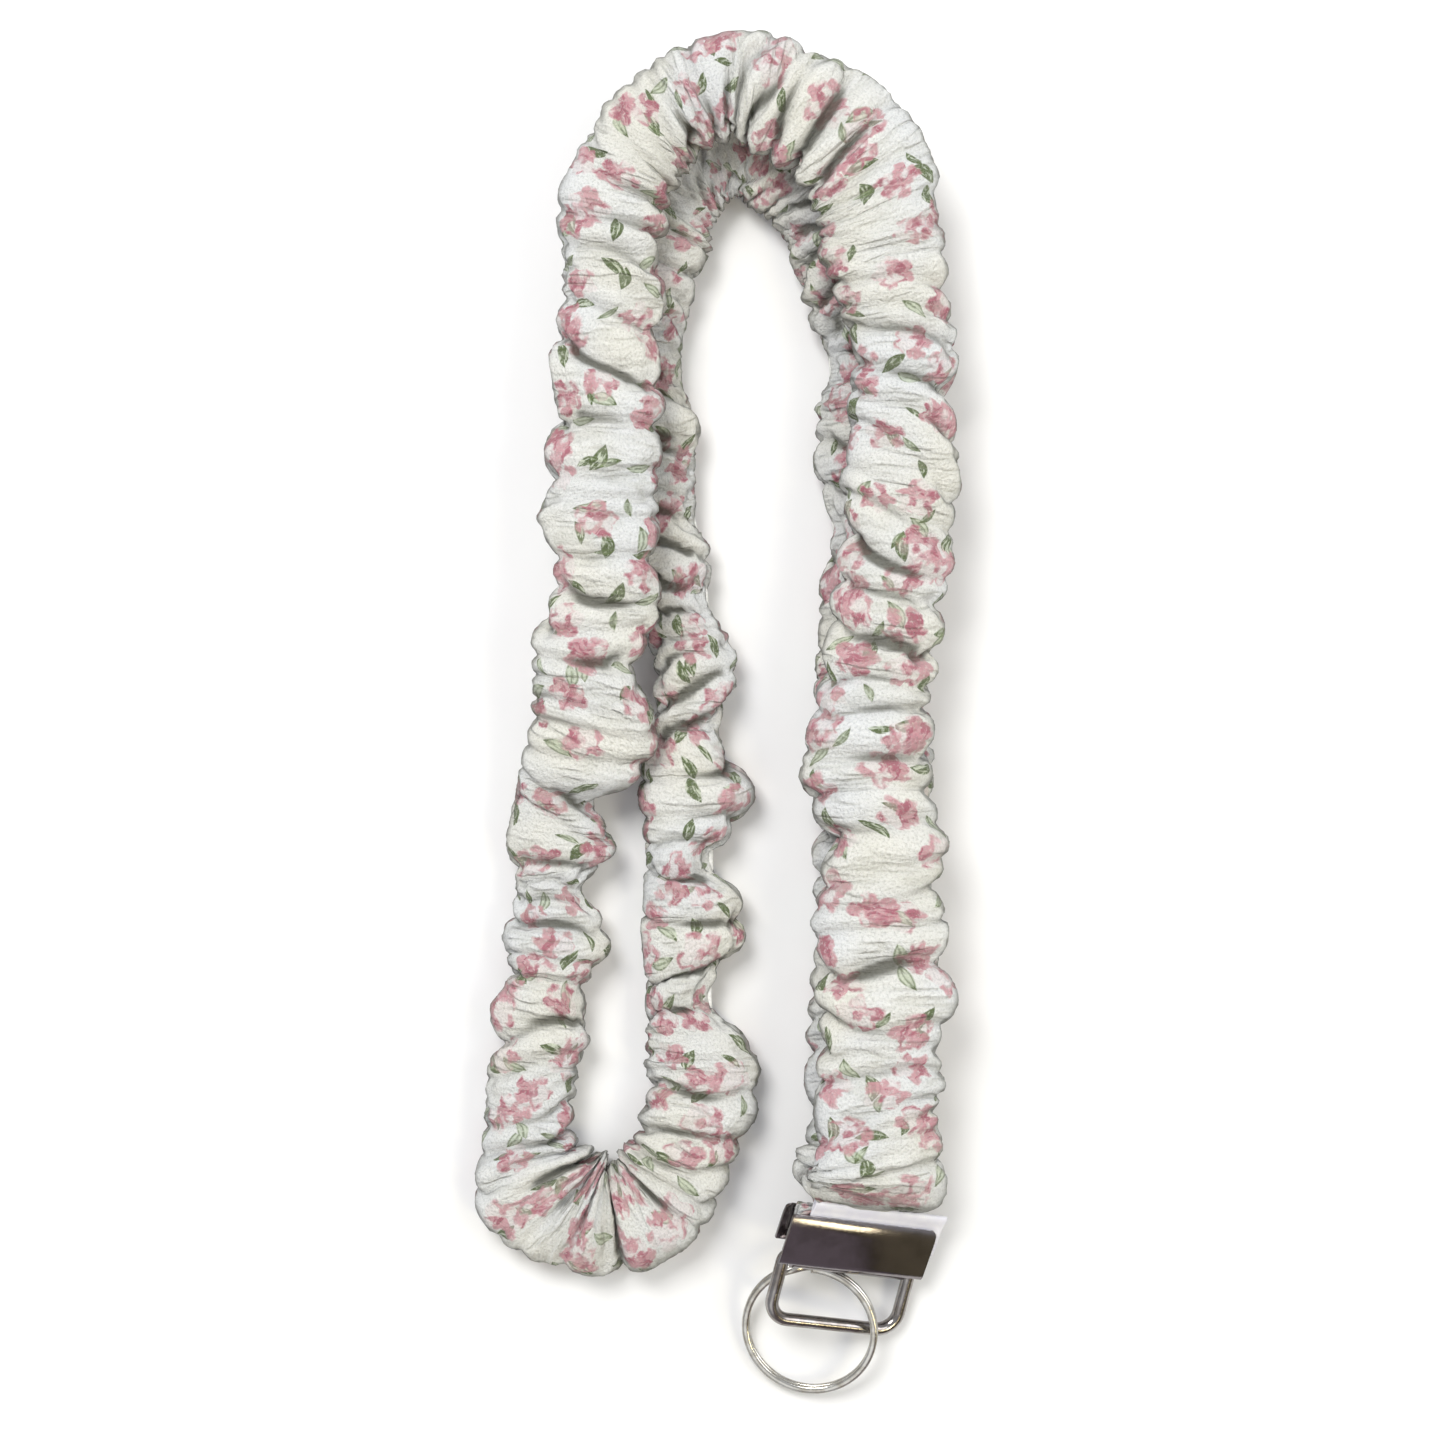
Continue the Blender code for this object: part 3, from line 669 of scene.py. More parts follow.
def clamp_to_world(points):
    """A grid of points in the clamp's own frame as world coordinates in mm."""
    world = points.reshape(-1, 3) @ np.array(CLAMP_TURN).T + FOLD_CENTRE
    return world.reshape(points.shape)


def apply_modifiers(obj):
    bpy.context.view_layer.update()
    graph = bpy.context.evaluated_depsgraph_get()
    mesh = bpy.data.meshes.new_from_object(obj.evaluated_get(graph))
    obj.modifiers.clear()
    obj.data = mesh


def profile_sheet(outline, x_from, x_to, columns):
    """Points of a (y, z) line in the clamp's frame, repeated across its width."""
    xs = np.linspace(x_from, x_to, columns)
    outline = np.array(outline, float)
    points = np.zeros((len(outline), columns, 3))
    points[..., 0] = xs[None]
    points[..., 1:] = outline[:, None]
    return points


def build_clamp():
    """Folded nickel plate: lips bent in along the mouth, rounded fold, slots for the loop's legs."""
    radius = CLAMP_RADIUS - CLAMP_SHEET / 2
    lip_length, lip_inset = 2.6, 0.55
    bend_y = MOUTH_Y - lip_length
    lip = []
    for t in np.linspace(0, 1, 9):
        y = MOUTH_Y + (bend_y - 1.2 - MOUTH_Y) * t
        run = np.clip((y - bend_y) / lip_length, 0, 1)
        lip.append((y, radius - lip_inset * run**1.5))
    fold_steps = 28
    fold = [
        (-radius * math.sin(math.pi * k / fold_steps), radius * math.cos(math.pi * k / fold_steps))
        for k in range(fold_steps + 1)
    ]
    outline = lip + fold + [(y, -z) for y, z in reversed(lip)]
    bm = bmesh.new()
    half = CLAMP_WIDTH / 2
    rows = [[bm.verts.new((x, y, z)) for x in (-half, half)] for y, z in outline]
    for a, b in zip(rows, rows[1:]):
        bm.faces.new((a[0], a[1], b[1], b[0]))
    bmesh.ops.scale(bm, vec=(MM, MM, MM), verts=bm.verts)
    clamp = object_from(bm, "clamp_plate")
    sheet = clamp.modifiers.new("sheet", "SOLIDIFY")
    sheet.thickness = CLAMP_SHEET * MM
    sheet.offset = 0
    sheet.use_even_offset = True
    # Slots at both ends of the fold let the loop's legs through and leave the front plate whole
    slot_from, slot_top, slot_front = 12.3, 1.65, 2.6
    cutters = []
    for side in (-1, 1):
        left, right = sorted((side * slot_from, side * (half + 1)))
        cutters.append(box_object((left, -6, -6), (right, slot_top, slot_front)))
        cutters.append(corner_object(side * half, side))
    cutters.append(teeth_object(half, radius - lip_inset))
    for cutter in cutters:
        boolean = clamp.modifiers.new("cut", "BOOLEAN")
        boolean.operation = "DIFFERENCE"
        boolean.object = cutter
    bevel = clamp.modifiers.new("edges", "BEVEL")
    bevel.width = 0.14 * MM
    bevel.segments = 3
    bevel.limit_method = "ANGLE"
    bevel.angle_limit = math.radians(40)
    apply_modifiers(clamp)
    for cutter in cutters:
        bpy.data.objects.remove(cutter)
    clamp.data.transform(clamp_matrix())
    clamp.data.shade_smooth()
    clamp.data.set_sharp_from_angle(angle=math.radians(35))
    return clamp


def box_object(low, high):
    bm = bmesh.new()
    low, high = Vector(low) * MM, Vector(high) * MM
    place = Matrix.Translation((low + high) / 2) @ Matrix.Diagonal((*(high - low), 1))
    bmesh.ops.create_cube(bm, size=1, matrix=place)
    return object_from(bm, "cutter")


def corner_object(end, side, radius=1.0):
    """What rounds off a corner of both plates at the mouth."""
    x, y = end - side * radius, MOUTH_Y - radius
    points = [(end + side, y), (end + side, MOUTH_Y + 1), (x, MOUTH_Y + 1)]
    for k in range(9):
        a = math.pi / 2 * (1 - k / 8)
        points.append((x + side * radius * math.cos(a), y + radius * math.sin(a)))
    return drawn_object(points, 6)


def drawn_object(points, reach):
    """A closed prism from a flat outline, from -reach to reach."""
    bm = bmesh.new()
    face = bm.faces.new([bm.verts.new((x * MM, y * MM, -reach * MM)) for x, y in points])
    drawn = bmesh.ops.extrude_face_region(bm, geom=[face])["geom"]
    top = [item for item in drawn if isinstance(item, bmesh.types.BMVert)]
    bmesh.ops.translate(bm, verts=top, vec=(0, 0, 2 * reach * MM))
    bmesh.ops.triangulate(bm, faces=bm.faces)
    return object_from(bm, "cutter")


def teeth_object(half, reach, pitch=3.2, depth=1.1):
    """Wedges between the teeth, which are cut into the inner half of both lips."""
    beyond, base = MOUTH_Y + 2, MOUTH_Y + 0.4
    points = [(-half - 1, beyond), (-half - 1, base)]
    for k in range(round(2 * half / pitch)):
        middle = (k + 0.5) * pitch - half
        points += [(middle - pitch / 4, base), (middle, MOUTH_Y - depth), (middle + pitch / 4, base)]
    points += [(half + 1, base), (half + 1, beyond)]
    return drawn_object(points, reach)


def build_wire_loop():
    """A closed rectangle of round wire with a butt joint in the bar that turns in the fold."""
    half, height = 14.2, 14.2
    top, bar = 2.1, 4.2  # the corners' radii at the fold and at the ring's bar
    wire_radius = 1.35
    lift_angle = math.radians(-8.5)
    line = []

    def corner(cx, cy, radius, start, steps=14):
        for k in range(steps + 1):
            a = start + math.pi / 2 * k / steps
            line.append((cx + radius * math.cos(a), cy + radius * math.sin(a), 0.0))

    def straight(a, b, steps):
        for k in range(1, steps):
            t = k / steps
            line.append(tuple(p + (q - p) * t for p, q in zip(a, b)))

    corner(half - top, -top, top, 0)
    straight(line[-1], (top - half, 0.0, 0.0), 8)
    corner(top - half, -top, top, math.pi / 2)
    straight(line[-1], (-half, bar - height, 0.0), 6)
    corner(bar - half, bar - height, bar, math.pi)
    straight(line[-1], (half - bar, -height, 0.0), 8)
    corner(half - bar, bar - height, bar, 1.5 * math.pi)
    straight(line[-1], (half, -top, 0.0), 6)
    lift = Matrix.Rotation(lift_angle, 3, "X")
    line = np.array([CLAMP_TURN @ (lift @ Vector(p)) for p in line]) + FOLD_CENTRE
    normal = np.array(CLAMP_TURN @ (lift @ Vector((0, 0, 1))))
    tangent = unit(np.roll(line, -1, 0) - np.roll(line, 1, 0))
    side = unit(np.cross(normal[None], tangent))
    up = np.tile(normal, (len(line), 1))
    return swept("key_loop", line, side, up, circle(wire_radius, 20), closed=True)


def circle(radius, sides):
    return [
        (radius * math.cos(2 * math.pi * k / sides), radius * math.sin(2 * math.pi * k / sides))
        for k in range(sides)
    ]


def build_split_ring():
    """Two turns of flattened wire, side by side, with the step where one passes into the other."""
    centre = np.array((17.9, -124.3, 5.1))
    lean = Vector((-0.165, -0.194, 1)).normalized()
    turn = Vector((0, 0, 1)).rotation_difference(lean).to_matrix()
    outer_radius, half_band, half_coil, coil_step = 14.0, 0.75, 0.5, 1.2
    middle = outer_radius - half_band
    # The step lies behind the clamp's front plate
    step_half, step_angle = math.radians(9), math.radians(97)
    start, stop = step_half, 4 * math.pi - step_half
    count = 300
    line, side, up = [], [], []
    for k in range(count + 1):
        angle = start + (stop - start) * k / count
        rise = float(smooth_share((angle - (2 * math.pi - step_half)) / (2 * step_half))) - 0.5
        here = angle + step_angle
        out = Vector((math.cos(here), math.sin(here), 0))
        line.append(np.array(turn @ (out * middle + Vector((0, 0, rise * coil_step)))) + centre)
        side.append(np.array(turn @ out))
        up.append(np.array(lean))
    # A flattened wire: rounded outside and in, nearly flat where the turns face each other
    outline = []
    for k in range(20):
        a = 2 * math.pi * k / 20
        c, s = math.cos(a), math.sin(a)
        band = half_band * math.copysign(abs(c) ** 0.9, c)
        outline.append((band, half_coil * math.copysign(abs(s) ** 0.85, s)))
    return swept("key_ring", np.array(line), np.array(side), np.array(up), outline)


# ---- the label and the pressed ends ----


def build_label():
    """Satin ribbon folded in two: its fold stands out of the mouth, its cut ends are in the clamp."""
    past_mouth, inside, left_x, right_x, width = 3.3, 6.0, -12.0, 17.4, 29.4
    level, thickness, bulge, pressed = 1.26, 0.14, 0.55, 0.13
    tip, foot = MOUTH_Y + past_mouth, MOUTH_Y - inside
    line = []
    for t in np.linspace(0, 1, 22):
        y = foot + (tip - bulge - foot) * t
        swell = smooth_share((t - 0.74) / 0.26)
        line.append((y, pressed + (bulge - pressed) * swell))
    for k in range(1, 12):
        a = math.pi / 2 - math.pi * k / 12
        line.append((tip - bulge + bulge * math.cos(a), bulge * math.sin(a)))
    line += [(y, -z) for y, z in reversed(line[:22])]
    columns = 70
    points = profile_sheet(line, left_x, right_x, columns)
    rng = np.random.default_rng(4)
    free = smooth_share((points[..., 1] - MOUTH_Y + 0.4) / 3.4)
    wave = smooth_noise((len(line), columns), (3, 7), rng)
    points[..., 2] += free * wave * 0.16 + level
    points[..., 1] += free * smooth_noise((len(line), columns), (2, 9), rng) * 0.12
    # The fold lifts and opens a little at the right end
    right = smooth_share((points[..., 0] - 11) / 6)
    points[..., 2] += free * right * 0.35
    lengths = np.linalg.norm(np.diff(np.array(line), axis=0), axis=1)
    run = np.concatenate([[0], np.cumsum(lengths)])
    cloth = np.stack(np.meshgrid(run, np.linspace(0, width, columns), indexing="ij"), -1)
    mesh = grid_mesh("label_ribbon", clamp_to_world(points), cloth)
    label = link(bpy.data.objects.new("label_ribbon", mesh))
    sheet = label.modifiers.new("sheet", "SOLIDIFY")
    sheet.thickness = thickness * MM
    sheet.offset = 0
    apply_modifiers(label)
    label.data.shade_smooth()
    return label, (width * MM, run[-1] * MM)


def build_pressed_end(name, level, seed):
    """The strand's pressed end in the clamp: small pleats squeezed flat."""
    rng = np.random.default_rng(seed)
    rows, columns = 26, 110
    v = np.linspace(0, 2 * math.pi, columns, endpoint=False)
    y = np.linspace(3.4, 10.9, rows)
    half, thick, print_scale = 14.4, 0.45, 60
    points = np.zeros((rows, columns, 3))
    c, s = np.cos(v), np.sin(v)
    x = half * np.sign(c) * np.abs(c) ** 0.25
    points[..., 0] = x[None] + 0.15 * smooth_noise((rows, columns), (6, 9), rng, True)
    points[..., 1] = y[:, None] + 0.12 * smooth_noise((rows, columns), (3, 20), rng, True)
    pleats = 0.75 + 0.25 * np.sin(x[None] * 2.9 + 2 * smooth_noise((rows, columns), (4, 12), rng, True))
    points[..., 2] = level + thick * (np.sign(s) * np.abs(s) ** 0.3)[None] * pleats
    bm = bmesh.new()
    layer = bm.loops.layers.uv.new("cloth")
    skin(bm, clamp_to_world(points))
    for face in bm.faces:
        for loop in face.loops:
            x, y, _ = loop.vert.co / MM / print_scale
            loop[layer].uv = (y, x)
    return object_from(bm, name)


# ---- materials ----


class Value:
    """A shader socket that can be reckoned with."""

    def __init__(self, graph, socket):
        self.graph = graph
        self.socket = socket

    def __add__(self, other):
        return self.graph.math("ADD", self, other)

    def __sub__(self, other):
        return self.graph.math("SUBTRACT", self, other)

    def __rsub__(self, other):
        return self.graph.math("SUBTRACT", other, self)

    def __mul__(self, other):
        return self.graph.math("MULTIPLY", self, other)

    def __truediv__(self, other):
        return self.graph.math("DIVIDE", self, other)

    __radd__ = __add__
    __rmul__ = __mul__


class Graph:
    """The node graph of a material or of the world, written as arithmetic."""

    def __init__(self, owner):
        owner.use_nodes = True
        self.owner = owner
        self.tree = owner.node_tree

    def finish(self, shader, inputs):
        """Sets the inputs of the shader node and gives back the graph's owner."""
        for key, value in inputs.items():
            self.put(self.tree.nodes[shader].inputs[key], value)
        return self.owner

    def put(self, socket, value):
        if isinstance(value, Value):
            self.tree.links.new(value.socket, socket)
        elif value is not None:
            socket.default_value = value

    def node(self, kind, inputs=(), **settings):
        node = self.tree.nodes.new(kind)
        for key, value in settings.items():
            setattr(node, key, value)
        for key, value in dict(inputs).items():
            self.put(node.inputs[key], value)
        return node

    def math(self, operation, a, b=None):
        node = self.node("ShaderNodeMath", {0: a, 1: b}, operation=operation)
        return Value(self, node.outputs[0])

    def vector_math(self, operation, a, b, output="Vector"):
        node = self.node("ShaderNodeVectorMath", {0: a, 1: b}, operation=operation)
        return Value(self, node.outputs[output])

    def smooth(self, value, low, high):
        """0 below low to 1 above high."""
        inputs = {"Value": value, "From Min": low, "From Max": high}
        node = self.node("ShaderNodeMapRange", inputs, interpolation_type="SMOOTHSTEP")
        return Value(self, node.outputs[0])

    def facing(self):
        """0 where a surface faces the viewer to 1 where it is seen edge-on."""
        node = self.node("ShaderNodeLayerWeight", {"Blend": 0.5})
        return Value(self, node.outputs["Facing"])

    def combine(self, x, y, z=0.0):
        node = self.node("ShaderNodeCombineXYZ", {"X": x, "Y": y, "Z": z})
        return Value(self, node.outputs[0])

    def separate(self, vector):
        node = self.node("ShaderNodeSeparateXYZ", {"Vector": vector})
        return [Value(self, out) for out in node.outputs]

    def noise(self, vector, scale, detail=2.0, rough=0.5):
        node = self.node(
            "ShaderNodeTexNoise",
            {"Vector": vector, "Scale": scale, "Detail": detail, "Roughness": rough},
        )
        return Value(self, node.outputs["Fac"])

    def cells(self, vector, scale, randomness, dimensions="2D"):
        return self.node(
            "ShaderNodeTexVoronoi",
            {"Vector": vector, "Scale": scale, "Randomness": randomness},
            voronoi_dimensions=dimensions,
        )

    def mix(self, share, a, b):
        """Colours a to b."""
        node = self.node("ShaderNodeMix", data_type="RGBA")
        colours = [i for i in node.inputs if i.type == "RGBA"]
        self.put(node.inputs[0], share)
        for socket, value in zip(colours, (a, b)):
            self.put(socket, (*value, 1.0) if isinstance(value, tuple) else value)
        return Value(self, next(o for o in node.outputs if o.type == "RGBA"))

    def bump(self, height, distance, strength):
        node = self.node("ShaderNodeBump", {"Height": height, "Distance": distance, "Strength": strength})
        return Value(self, node.outputs[0])

    def uv_mm(self):
        """The place on the flat cloth, in mm."""
        node = self.node("ShaderNodeUVMap", uv_map="cloth")
        x, y, _ = self.separate(Value(self, node.outputs[0]))
        return x * 100.0, y * 100.0

    def object_mm(self):
        """The place in space, in mm."""
        place = Value(self, self.node("ShaderNodeTexCoord").outputs["Object"])
        scaled = self.node("ShaderNodeVectorMath", {0: place, "Scale": 1000.0}, operation="SCALE")
        return Value(self, scaled.outputs[0])


def local_cell(g, x, y, size, randomness, shift):
    """Place from the nearest motif's centre in mm, turned at random, and that motif's random numbers."""
    at = g.combine(x / size + shift, y / size + shift * 1.7)
    cell = g.cells(at, 1.0, randomness)
    away = g.vector_math("SUBTRACT", at, Value(g, cell.outputs["Position"]))
    dx, dy, _ = g.separate(away)
    dx, dy = dx * size, dy * size
    colour = g.node("ShaderNodeSeparateColor", {"Color": Value(g, cell.outputs["Color"])})
    random = [Value(g, out) for out in colour.outputs]
    turn = random[0] * (2 * math.pi)
    c, s = g.math("COSINE", turn), g.math("SINE", turn)
    return dx * c - dy * s, dx * s + dy * c, random


def rose_print(g, x, y, size, shift, radius):
    """Brush-stroke roses: (share of deep pink, share of pale pink, wash)."""
    wobble = g.noise(g.combine(x, y, shift), 0.4, 2.0) - 0.5
    wobble_y = g.noise(g.combine(y, x, shift + 9.0), 0.4, 2.0) - 0.5
    a, b, random = local_cell(g, x + wobble * 3.0, y + wobble_y * 3.0, size, 0.7, shift)
    r = g.math("SQRT", a * a + b * b)
    angle = g.math("ARCTAN2", b, a)
    petals = g.math("ABSOLUTE", g.math("COSINE", angle * 2.5 + random[1] * 6.0))
    edge = r / ((petals * 0.34 + 0.7) * radius * (random[2] * 0.3 + 0.82))
    body = 1.0 - g.smooth(edge, 0.84, 1.04)
    patches = g.noise(g.combine(a, b, random[0] * 20.0), 0.27, 1.5, 0.5)
    strokes = g.noise(g.combine(a * 1.6 + b, b * 0.5 - a * 0.2, random[1] * 20.0), 0.42, 2.0, 0.5)
    pale = body * g.smooth(patches, 0.43, 0.52)
    heart = g.smooth(edge, 0.55, 0.2)
    deep = body * g.smooth(strokes + heart * 0.06, 0.5, 0.6) * g.smooth(patches, 0.40, 0.56)
    return deep, pale, body


def leaf_print(g, x, y, size, shift, length, width):
    """Brushed leaves: (dark strokes, pale fill)."""
    a, b, random = local_cell(g, x, y, size, 0.9, shift)
    curve = b + a * a * 0.07
    half = (1.0 - (a / length) * (a / length)) * width
    off_rib = g.math("ABSOLUTE", curve)
    inside = g.smooth(half - off_rib, 0.0, 0.4)
    streaks = g.noise(g.combine(a * 0.4, curve * 1.5, random[0] * 20.0), 0.9, 2.0, 0.6)
    outline = inside * g.smooth(half - off_rib, 0.75, 0.35)
    rib = g.smooth(off_rib, 0.42, 0.12) * inside
    filled = g.math("GREATER_THAN", random[1], 0.5)
    present = g.math("GREATER_THAN", random[2], 0.2)
    dark = inside * filled * g.smooth(streaks, 0.36, 0.52)
    dark = g.math("MINIMUM", dark + (outline * 0.8 + rib * 0.7) * g.smooth(streaks, 0.32, 0.5), 1.0)
    return dark * present, inside * present


def cloth_material(name, has_depth=True):
    """Ribbed off-white velour printed with small roses and leaves; its colour carries painted shade in the
    creases, along the small wrinkles and where it is seen edge-on.
    """
    g = Graph(bpy.data.materials.new(name))
    x, y = g.uv_mm()
    plane = g.combine(x, y)
    ribs = x + (g.noise(plane, 0.08, 2.0) - 0.5) * 3.0
    rib = g.math("SINE", ribs * (2 * math.pi / 1.7)) * 0.5 + 0.5
    pile = g.noise(plane, 1.9, 4.0, 0.7)
    tufts = Value(g, g.cells(plane, 1.35, 0.9).outputs["Distance"])

    patch = g.smooth(g.noise(plane, 0.035, 2.0), 0.35, 0.65)
    base = g.mix(patch, (0.86, 0.88, 0.89), (0.90, 0.885, 0.79))
    base = g.mix(g.smooth(pile, 0.35, 0.7) * 0.5, base, (0.96, 0.96, 0.93))
    fray = g.smooth(g.noise(plane, 1.1, 3.0, 0.7), 0.28, 0.5)
    for size, shift, length, width in ((10.5, 3.3, 3.3, 1.45), (13.5, 8.1, 2.6, 0.95)):
        leaf_dark, leaf = leaf_print(g, x, y, size, shift, length, width)
        base = g.mix(leaf * 0.45, base, (0.46, 0.58, 0.30))
        base = g.mix(leaf_dark * fray * 0.95, base, (0.10, 0.145, 0.045))
    for size, shift, radius in ((14.6, 0.37, 4.7), (19.0, 5.9, 4.4)):
        deep, pale, wash = rose_print(g, x, y, size, shift, radius)
        base = g.mix(wash * 0.3, base, (0.86, 0.69, 0.70))
        base = g.mix(pale * (fray * 0.55 + 0.3), base, (0.66, 0.32, 0.36))
        base = g.mix(deep * fray * 0.85, base, (0.45, 0.13, 0.18))
    broken = g.smooth(g.noise(plane, 0.5, 2.0), 0.4, 0.62)
    rib = rib * (broken * 0.8 + 0.2)
    base = g.mix(g.smooth(pile, 0.54, 0.34) * 0.34, base, (0.36, 0.36, 0.33))
    # Small wrinkles run round the strap between the modelled folds: they bump the surface, and painted shade
    # darkens the colour along them
    wrinkles = g.noise(g.combine(x * 0.27, y * 0.06), 1.0, 1.5, 0.5)
    wrinkle = g.smooth(g.math("ABSOLUTE", wrinkles - 0.5), 0.085, 0.0)
    wrinkle = wrinkle * g.smooth(g.noise(plane, 0.09, 1.0), 0.4, 0.58)
    base = g.mix(wrinkle * 0.22, base, (0.42, 0.42, 0.33))
    # Painted shade: the colour darkens deep between the folds, where shade falls in the creases
    if has_depth:
        depth = Value(g, g.node("ShaderNodeAttribute", attribute_name="fold_depth").outputs["Fac"])
        base = g.mix(g.smooth(depth, 0.55, 1.02) * 0.85, base, (0.09, 0.09, 0.065))
    # Painted shade: the colour darkens where the pile turns edge-on to the view, standing in for the light
    # falling off on the rolls' sides
    painted_rim_shade = g.smooth(g.facing(), 0.25, 0.95)
    base = g.mix(painted_rim_shade * 0.8, base, (0.15, 0.15, 0.13))
    height = rib * 0.3 + pile * 1.15 + tufts * 0.3 - wrinkle * 0.9
    return g.finish("Principled BSDF", {
        "Base Color": base,
        "Roughness": pile * 0.15 + 0.78,
        "Specular IOR Level": 0.22,
        "Sheen Weight": 0.12,
        "Sheen Roughness": 0.5,
        "Sheen Tint": (1.0, 0.98, 0.94, 1.0),
        "Normal": g.bump(height, 0.62 * MM, 1.0),
    })


def nickel_material(name, colour, dark, roughness, scale=1.0, painted_rim_shade=0.0):
    """Polished plating: slight tarnish in patches, fine rub marks and small pits, and painted shade along
    the edges seen edge-on when asked.
    """
    g = Graph(bpy.data.materials.new(name))
    at = g.object_mm()
    patches = g.noise(at, 0.16 * scale, 3.0, 0.55)
    specks = g.noise(at, 2.6 * scale, 3.0, 0.7)
    stretched = g.node(
        "ShaderNodeMapping",
        {"Vector": at, "Scale": (0.25, 6.0, 6.0), "Rotation": (0, 0, math.radians(12))},
    )
    rubs = g.noise(Value(g, stretched.outputs[0]), 1.0 * scale, 3.0, 0.6)
    tone = g.mix(g.smooth(patches, 0.35, 0.68), colour, dark)
    tone = g.mix(g.smooth(specks, 0.66, 0.74) * 0.5, tone, tuple(c * 0.55 for c in dark))
    # Painted shade: the colour darkens where the wire turns edge-on to the view, standing in for its dark
    # edge reflections
    if painted_rim_shade:
        edge = g.smooth(g.facing(), 0.35, 0.85)
        tone = g.mix(edge * painted_rim_shade, tone, (0.07, 0.065, 0.05))
    rough = g.smooth(rubs, 0.45, 0.75) * 0.08 + g.smooth(specks, 0.55, 0.75) * 0.1
    return g.finish("Principled BSDF", {
        "Base Color": tone,
        "Metallic": 1.0,
        "Roughness": rough + patches * 0.06 + roughness,
        "Normal": g.bump(patches * 0.8 + rubs * 0.1 + specks * 0.03, 0.16 * MM, 0.5),
    })


def satin_material(name):
    """Printed-label satin: fine weft lines and a soft sheen along the ribbon."""
    g = Graph(bpy.data.materials.new(name))
    x, y = g.uv_mm()
    plane = g.combine(x, y)
    weft = g.math("SINE", x * (2 * math.pi / 0.28)) * 0.5 + 0.5
    warp = g.math("SINE", y * (2 * math.pi / 0.4)) * 0.5 + 0.5
    cloud = g.noise(plane, 0.3, 2.0)
    base = g.mix(g.smooth(cloud, 0.3, 0.7), (0.80, 0.79, 0.86), (0.88, 0.87, 0.90))
    base = g.mix(weft * warp * 0.25, base, (0.66, 0.65, 0.72))
    return g.finish("Principled BSDF", {
        "Base Color": base,
        "Roughness": weft * 0.1 + 0.36,
        "Sheen Weight": 0.3,
        "Normal": g.bump(weft * 0.6 + warp * 0.4 + cloud * 2.0, 0.05 * MM, 0.6),
    })


def elastic_material(name):
    g = Graph(bpy.data.materials.new(name))
    at = g.object_mm()
    fine = g.noise(at, 1.6, 3.0, 0.6)
    knots = Value(g, g.cells(at, 1.4, 0.4, dimensions="3D").outputs["Distance"])
    base = g.mix(g.smooth(knots, 0.2, 0.6), (0.9, 0.9, 0.87), (0.7, 0.7, 0.67))
    return g.finish("Principled BSDF", {
        "Base Color": g.mix(g.smooth(fine, 0.4, 0.7) * 0.4, base, (0.95, 0.95, 0.92)),
        "Roughness": fine * 0.2 + 0.65,
        "Normal": g.bump(knots + fine * 0.5, 0.15 * MM, 0.8),
    })


def floor_material(name):
    g = Graph(bpy.data.materials.new(name))
    at = g.object_mm()
    tone = g.noise(at, 0.01, 2.0)
    grey = g.mix(tone, (0.88, 0.88, 0.88), (0.91, 0.91, 0.905))
    return g.finish("Principled BSDF", {"Base Color": grey, "Roughness": 0.85})


def finish_piece(obj, material):
    obj.data.materials.clear()
    obj.data.materials.append(material)


# ---- studio ----


def build_floor():
    mesh = bpy.data.meshes.new("floor")
    reach = 2.0
    mesh.from_pydata(
        [(-reach, -reach, 0), (reach, -reach, 0), (reach, reach, 0), (-reach, reach, 0)], [], [(0, 1, 2, 3)]
    )
    floor = link(bpy.data.objects.new("floor", mesh))
    mesh.materials.append(floor_material("pale_floor"))


def add_softbox(name, location, target, size, energy, colour):
    light = bpy.data.lights.new(name, "AREA")
    light.shape = "RECTANGLE"
    light.size, light.size_y = size
    light.energy = energy
    light.color = colour
    obj = link(bpy.data.objects.new(name, light))
    obj.location = location
    obj.rotation_euler = (Vector(target) - Vector(location)).to_track_quat("-Z", "Y").to_euler()


def build_room():
    """The room that the metal mirrors: darkest in front of the hardware and paler all round."""
    world = bpy.data.worlds.new("studio")
    bpy.context.scene.world = world
    g = Graph(world)
    direction = Value(g, g.node("ShaderNodeTexCoord").outputs["Generated"])
    to_dark_side = Vector((0.47, -0.76, 0.445)).normalized()
    near = g.smooth(g.vector_math("DOT_PRODUCT", direction, to_dark_side, "Value"), 0.72, 0.955)
    # The dark side holds a dim wall, a doorway and a wooden cupboard
    sweep = g.vector_math("DOT_PRODUCT", direction, (0.98, 0.50, -0.30), "Value")
    place = g.node("ShaderNodeMapRange", {"Value": sweep, "From Min": -0.10, "From Max": 0.04})
    dim = g.node("ShaderNodeValToRGB", {"Fac": Value(g, place.outputs[0])})
    stops = (
        (0.0, (0.40, 0.34, 0.38)), (0.45, (0.30, 0.25, 0.28)), (0.56, (0.05, 0.045, 0.04)),
        (0.66, (0.05, 0.045, 0.03)), (0.78, (0.24, 0.205, 0.12)), (1.0, (0.30, 0.26, 0.17)),
    )
    ramp = dim.color_ramp.elements
    while len(ramp) < len(stops):
        ramp.new(0.5)
    for element, (position, colour) in zip(ramp, stops):
        element.position = position
        element.color = (*colour, 1)
    room = g.mix(near, (0.78, 0.80, 0.84), Value(g, dim.outputs[0]))
    g.finish("Background", {"Color": room, "Strength": 0.62})


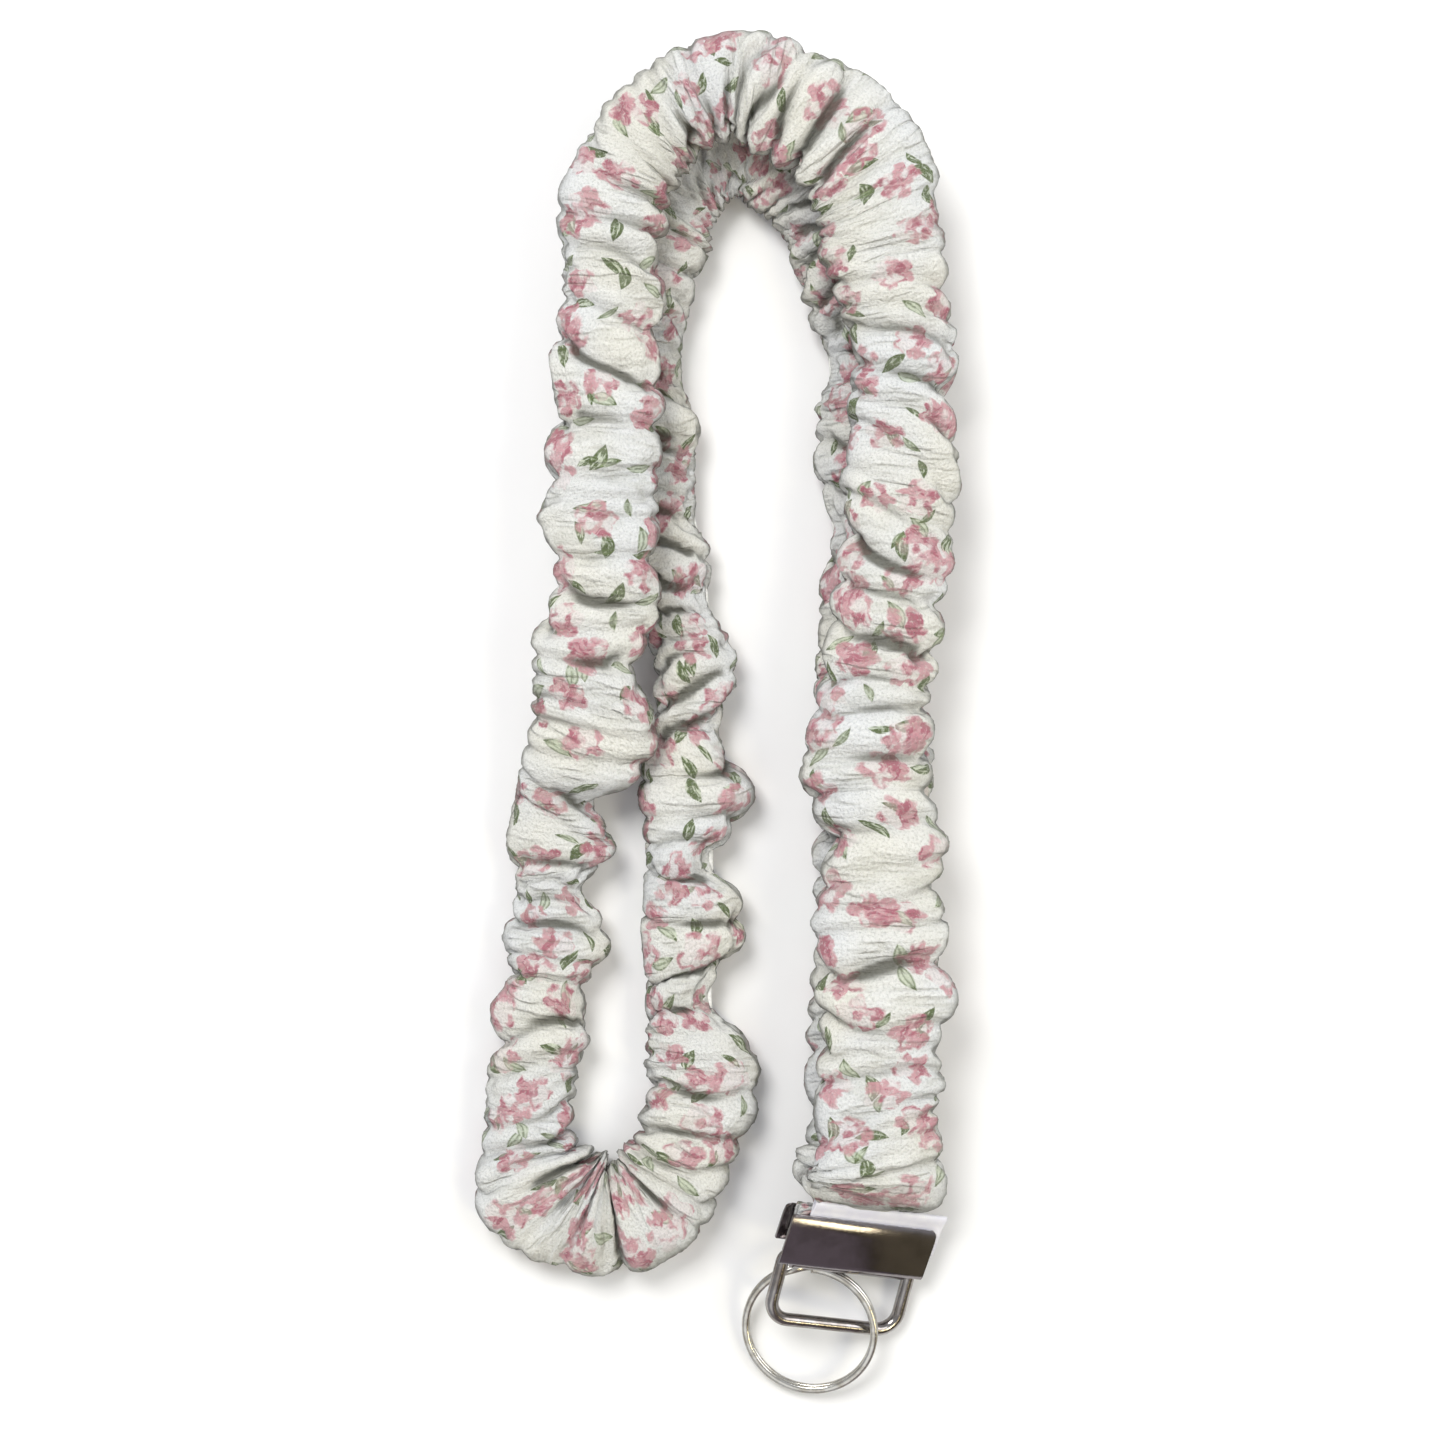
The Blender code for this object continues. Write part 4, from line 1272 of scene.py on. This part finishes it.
def build_studio():
    build_floor()
    build_room()
    add_softbox("key", (-0.35, 0.55, 0.95), (0, 0, 0), (0.5, 0.5), 9.5, (1.0, 0.99, 0.97))
    add_softbox("fill", (0.75, 0.1, 0.75), (0, 0, 0), (0.5, 0.7), 3.5, (0.97, 0.98, 1.0))
    add_softbox("front", (-0.25, -0.72, 0.80), (0, -0.1, 0), (0.7, 0.55), 0.7, (1.0, 0.99, 0.96))
    add_softbox("warm_lamp", (0.535, -0.475, 0.735), (0.02, -0.1, 0), (0.15, 0.30), 1.5, (1.0, 0.90, 0.58))


def build_camera():
    height, seen, sensor = 0.48, 0.2925, 36
    data = bpy.data.cameras.new("camera")
    data.sensor_width = sensor
    data.lens = sensor * height / seen
    camera = link(bpy.data.objects.new("camera", data))
    camera.location = (0, 0, height + BETWEEN * MM)
    bpy.context.scene.camera = camera


def main():
    build_camera()
    build_studio()
    bpy.context.scene.view_settings.view_transform = "Standard"

    velour = cloth_material("floral_velour_print")
    pressed = cloth_material("pressed_velour_print", has_depth=False)
    dark_nickel = nickel_material("dark_nickel_plate", (0.30, 0.275, 0.285), (0.22, 0.20, 0.20), 0.09)
    loop_nickel = nickel_material(
        "dark_nickel_wire", (0.36, 0.34, 0.33), (0.25, 0.22, 0.20), roughness=0.11, scale=2.0
    )
    bright_nickel = nickel_material(
        "bright_nickel_wire", (0.66, 0.645, 0.60), (0.46, 0.43, 0.37), roughness=0.15, scale=2.0, painted_rim_shade=0.75
    )

    path = strap_path()
    sleeve, flat, elastic_place = build_sleeve(path)
    finish_piece(sleeve, velour)
    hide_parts("fabric_sleeve")
    start, end = (fold_point(y) * MM for y in (BLEND_START_Y, MOUTH_Y))
    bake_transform(sleeve, "strap", "clamp", start=start, end=end)
    keep_on_strap(sleeve)

    elastic = build_elastic(path, *elastic_place)
    finish_piece(elastic, elastic_material("braided_elastic"))
    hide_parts("elastic_band")
    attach(elastic, "strap")

    clamp = build_clamp()
    finish_piece(clamp, dark_nickel)
    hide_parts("clamp")
    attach(clamp, "clamp")

    for name, level, node, seed in (
        ("pressed_end_front", 0.15, "sleeve_end_front", 1),
        ("pressed_end_rear", -1.1, "sleeve_end_rear", 2),
    ):
        end_piece = build_pressed_end(name, level, seed)
        finish_piece(end_piece, pressed)
        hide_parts(node)
        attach(end_piece, "clamp")

    label, label_flat = build_label()
    finish_piece(label, satin_material("label_satin_weave"))
    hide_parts("folded_label")
    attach(label, "clamp")

    loop = build_wire_loop()
    finish_piece(loop, loop_nickel)
    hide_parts("wire_loop")
    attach(loop, "wire_loop")

    ring = build_split_ring()
    finish_piece(ring, bright_nickel)
    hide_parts("split_ring")
    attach(ring, "split_ring")


def keep_on_strap(sleeve):
    """The lower turn lies beside the clamp, not at its mouth, so it stays with the strap."""
    count = len(sleeve.data.vertices)
    weights = np.zeros(count, np.float32)
    attribute = sleeve.data.attributes["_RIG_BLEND"]
    attribute.data.foreach_get("value", weights)
    row = np.arange(count) // (COLUMNS + SEAM_COLUMNS)
    weights[(row >= END_ROWS) & (row < ROWS - END_ROWS)] = 0
    attribute.data.foreach_set("value", weights)


main()


bpy.context.view_layer.update()
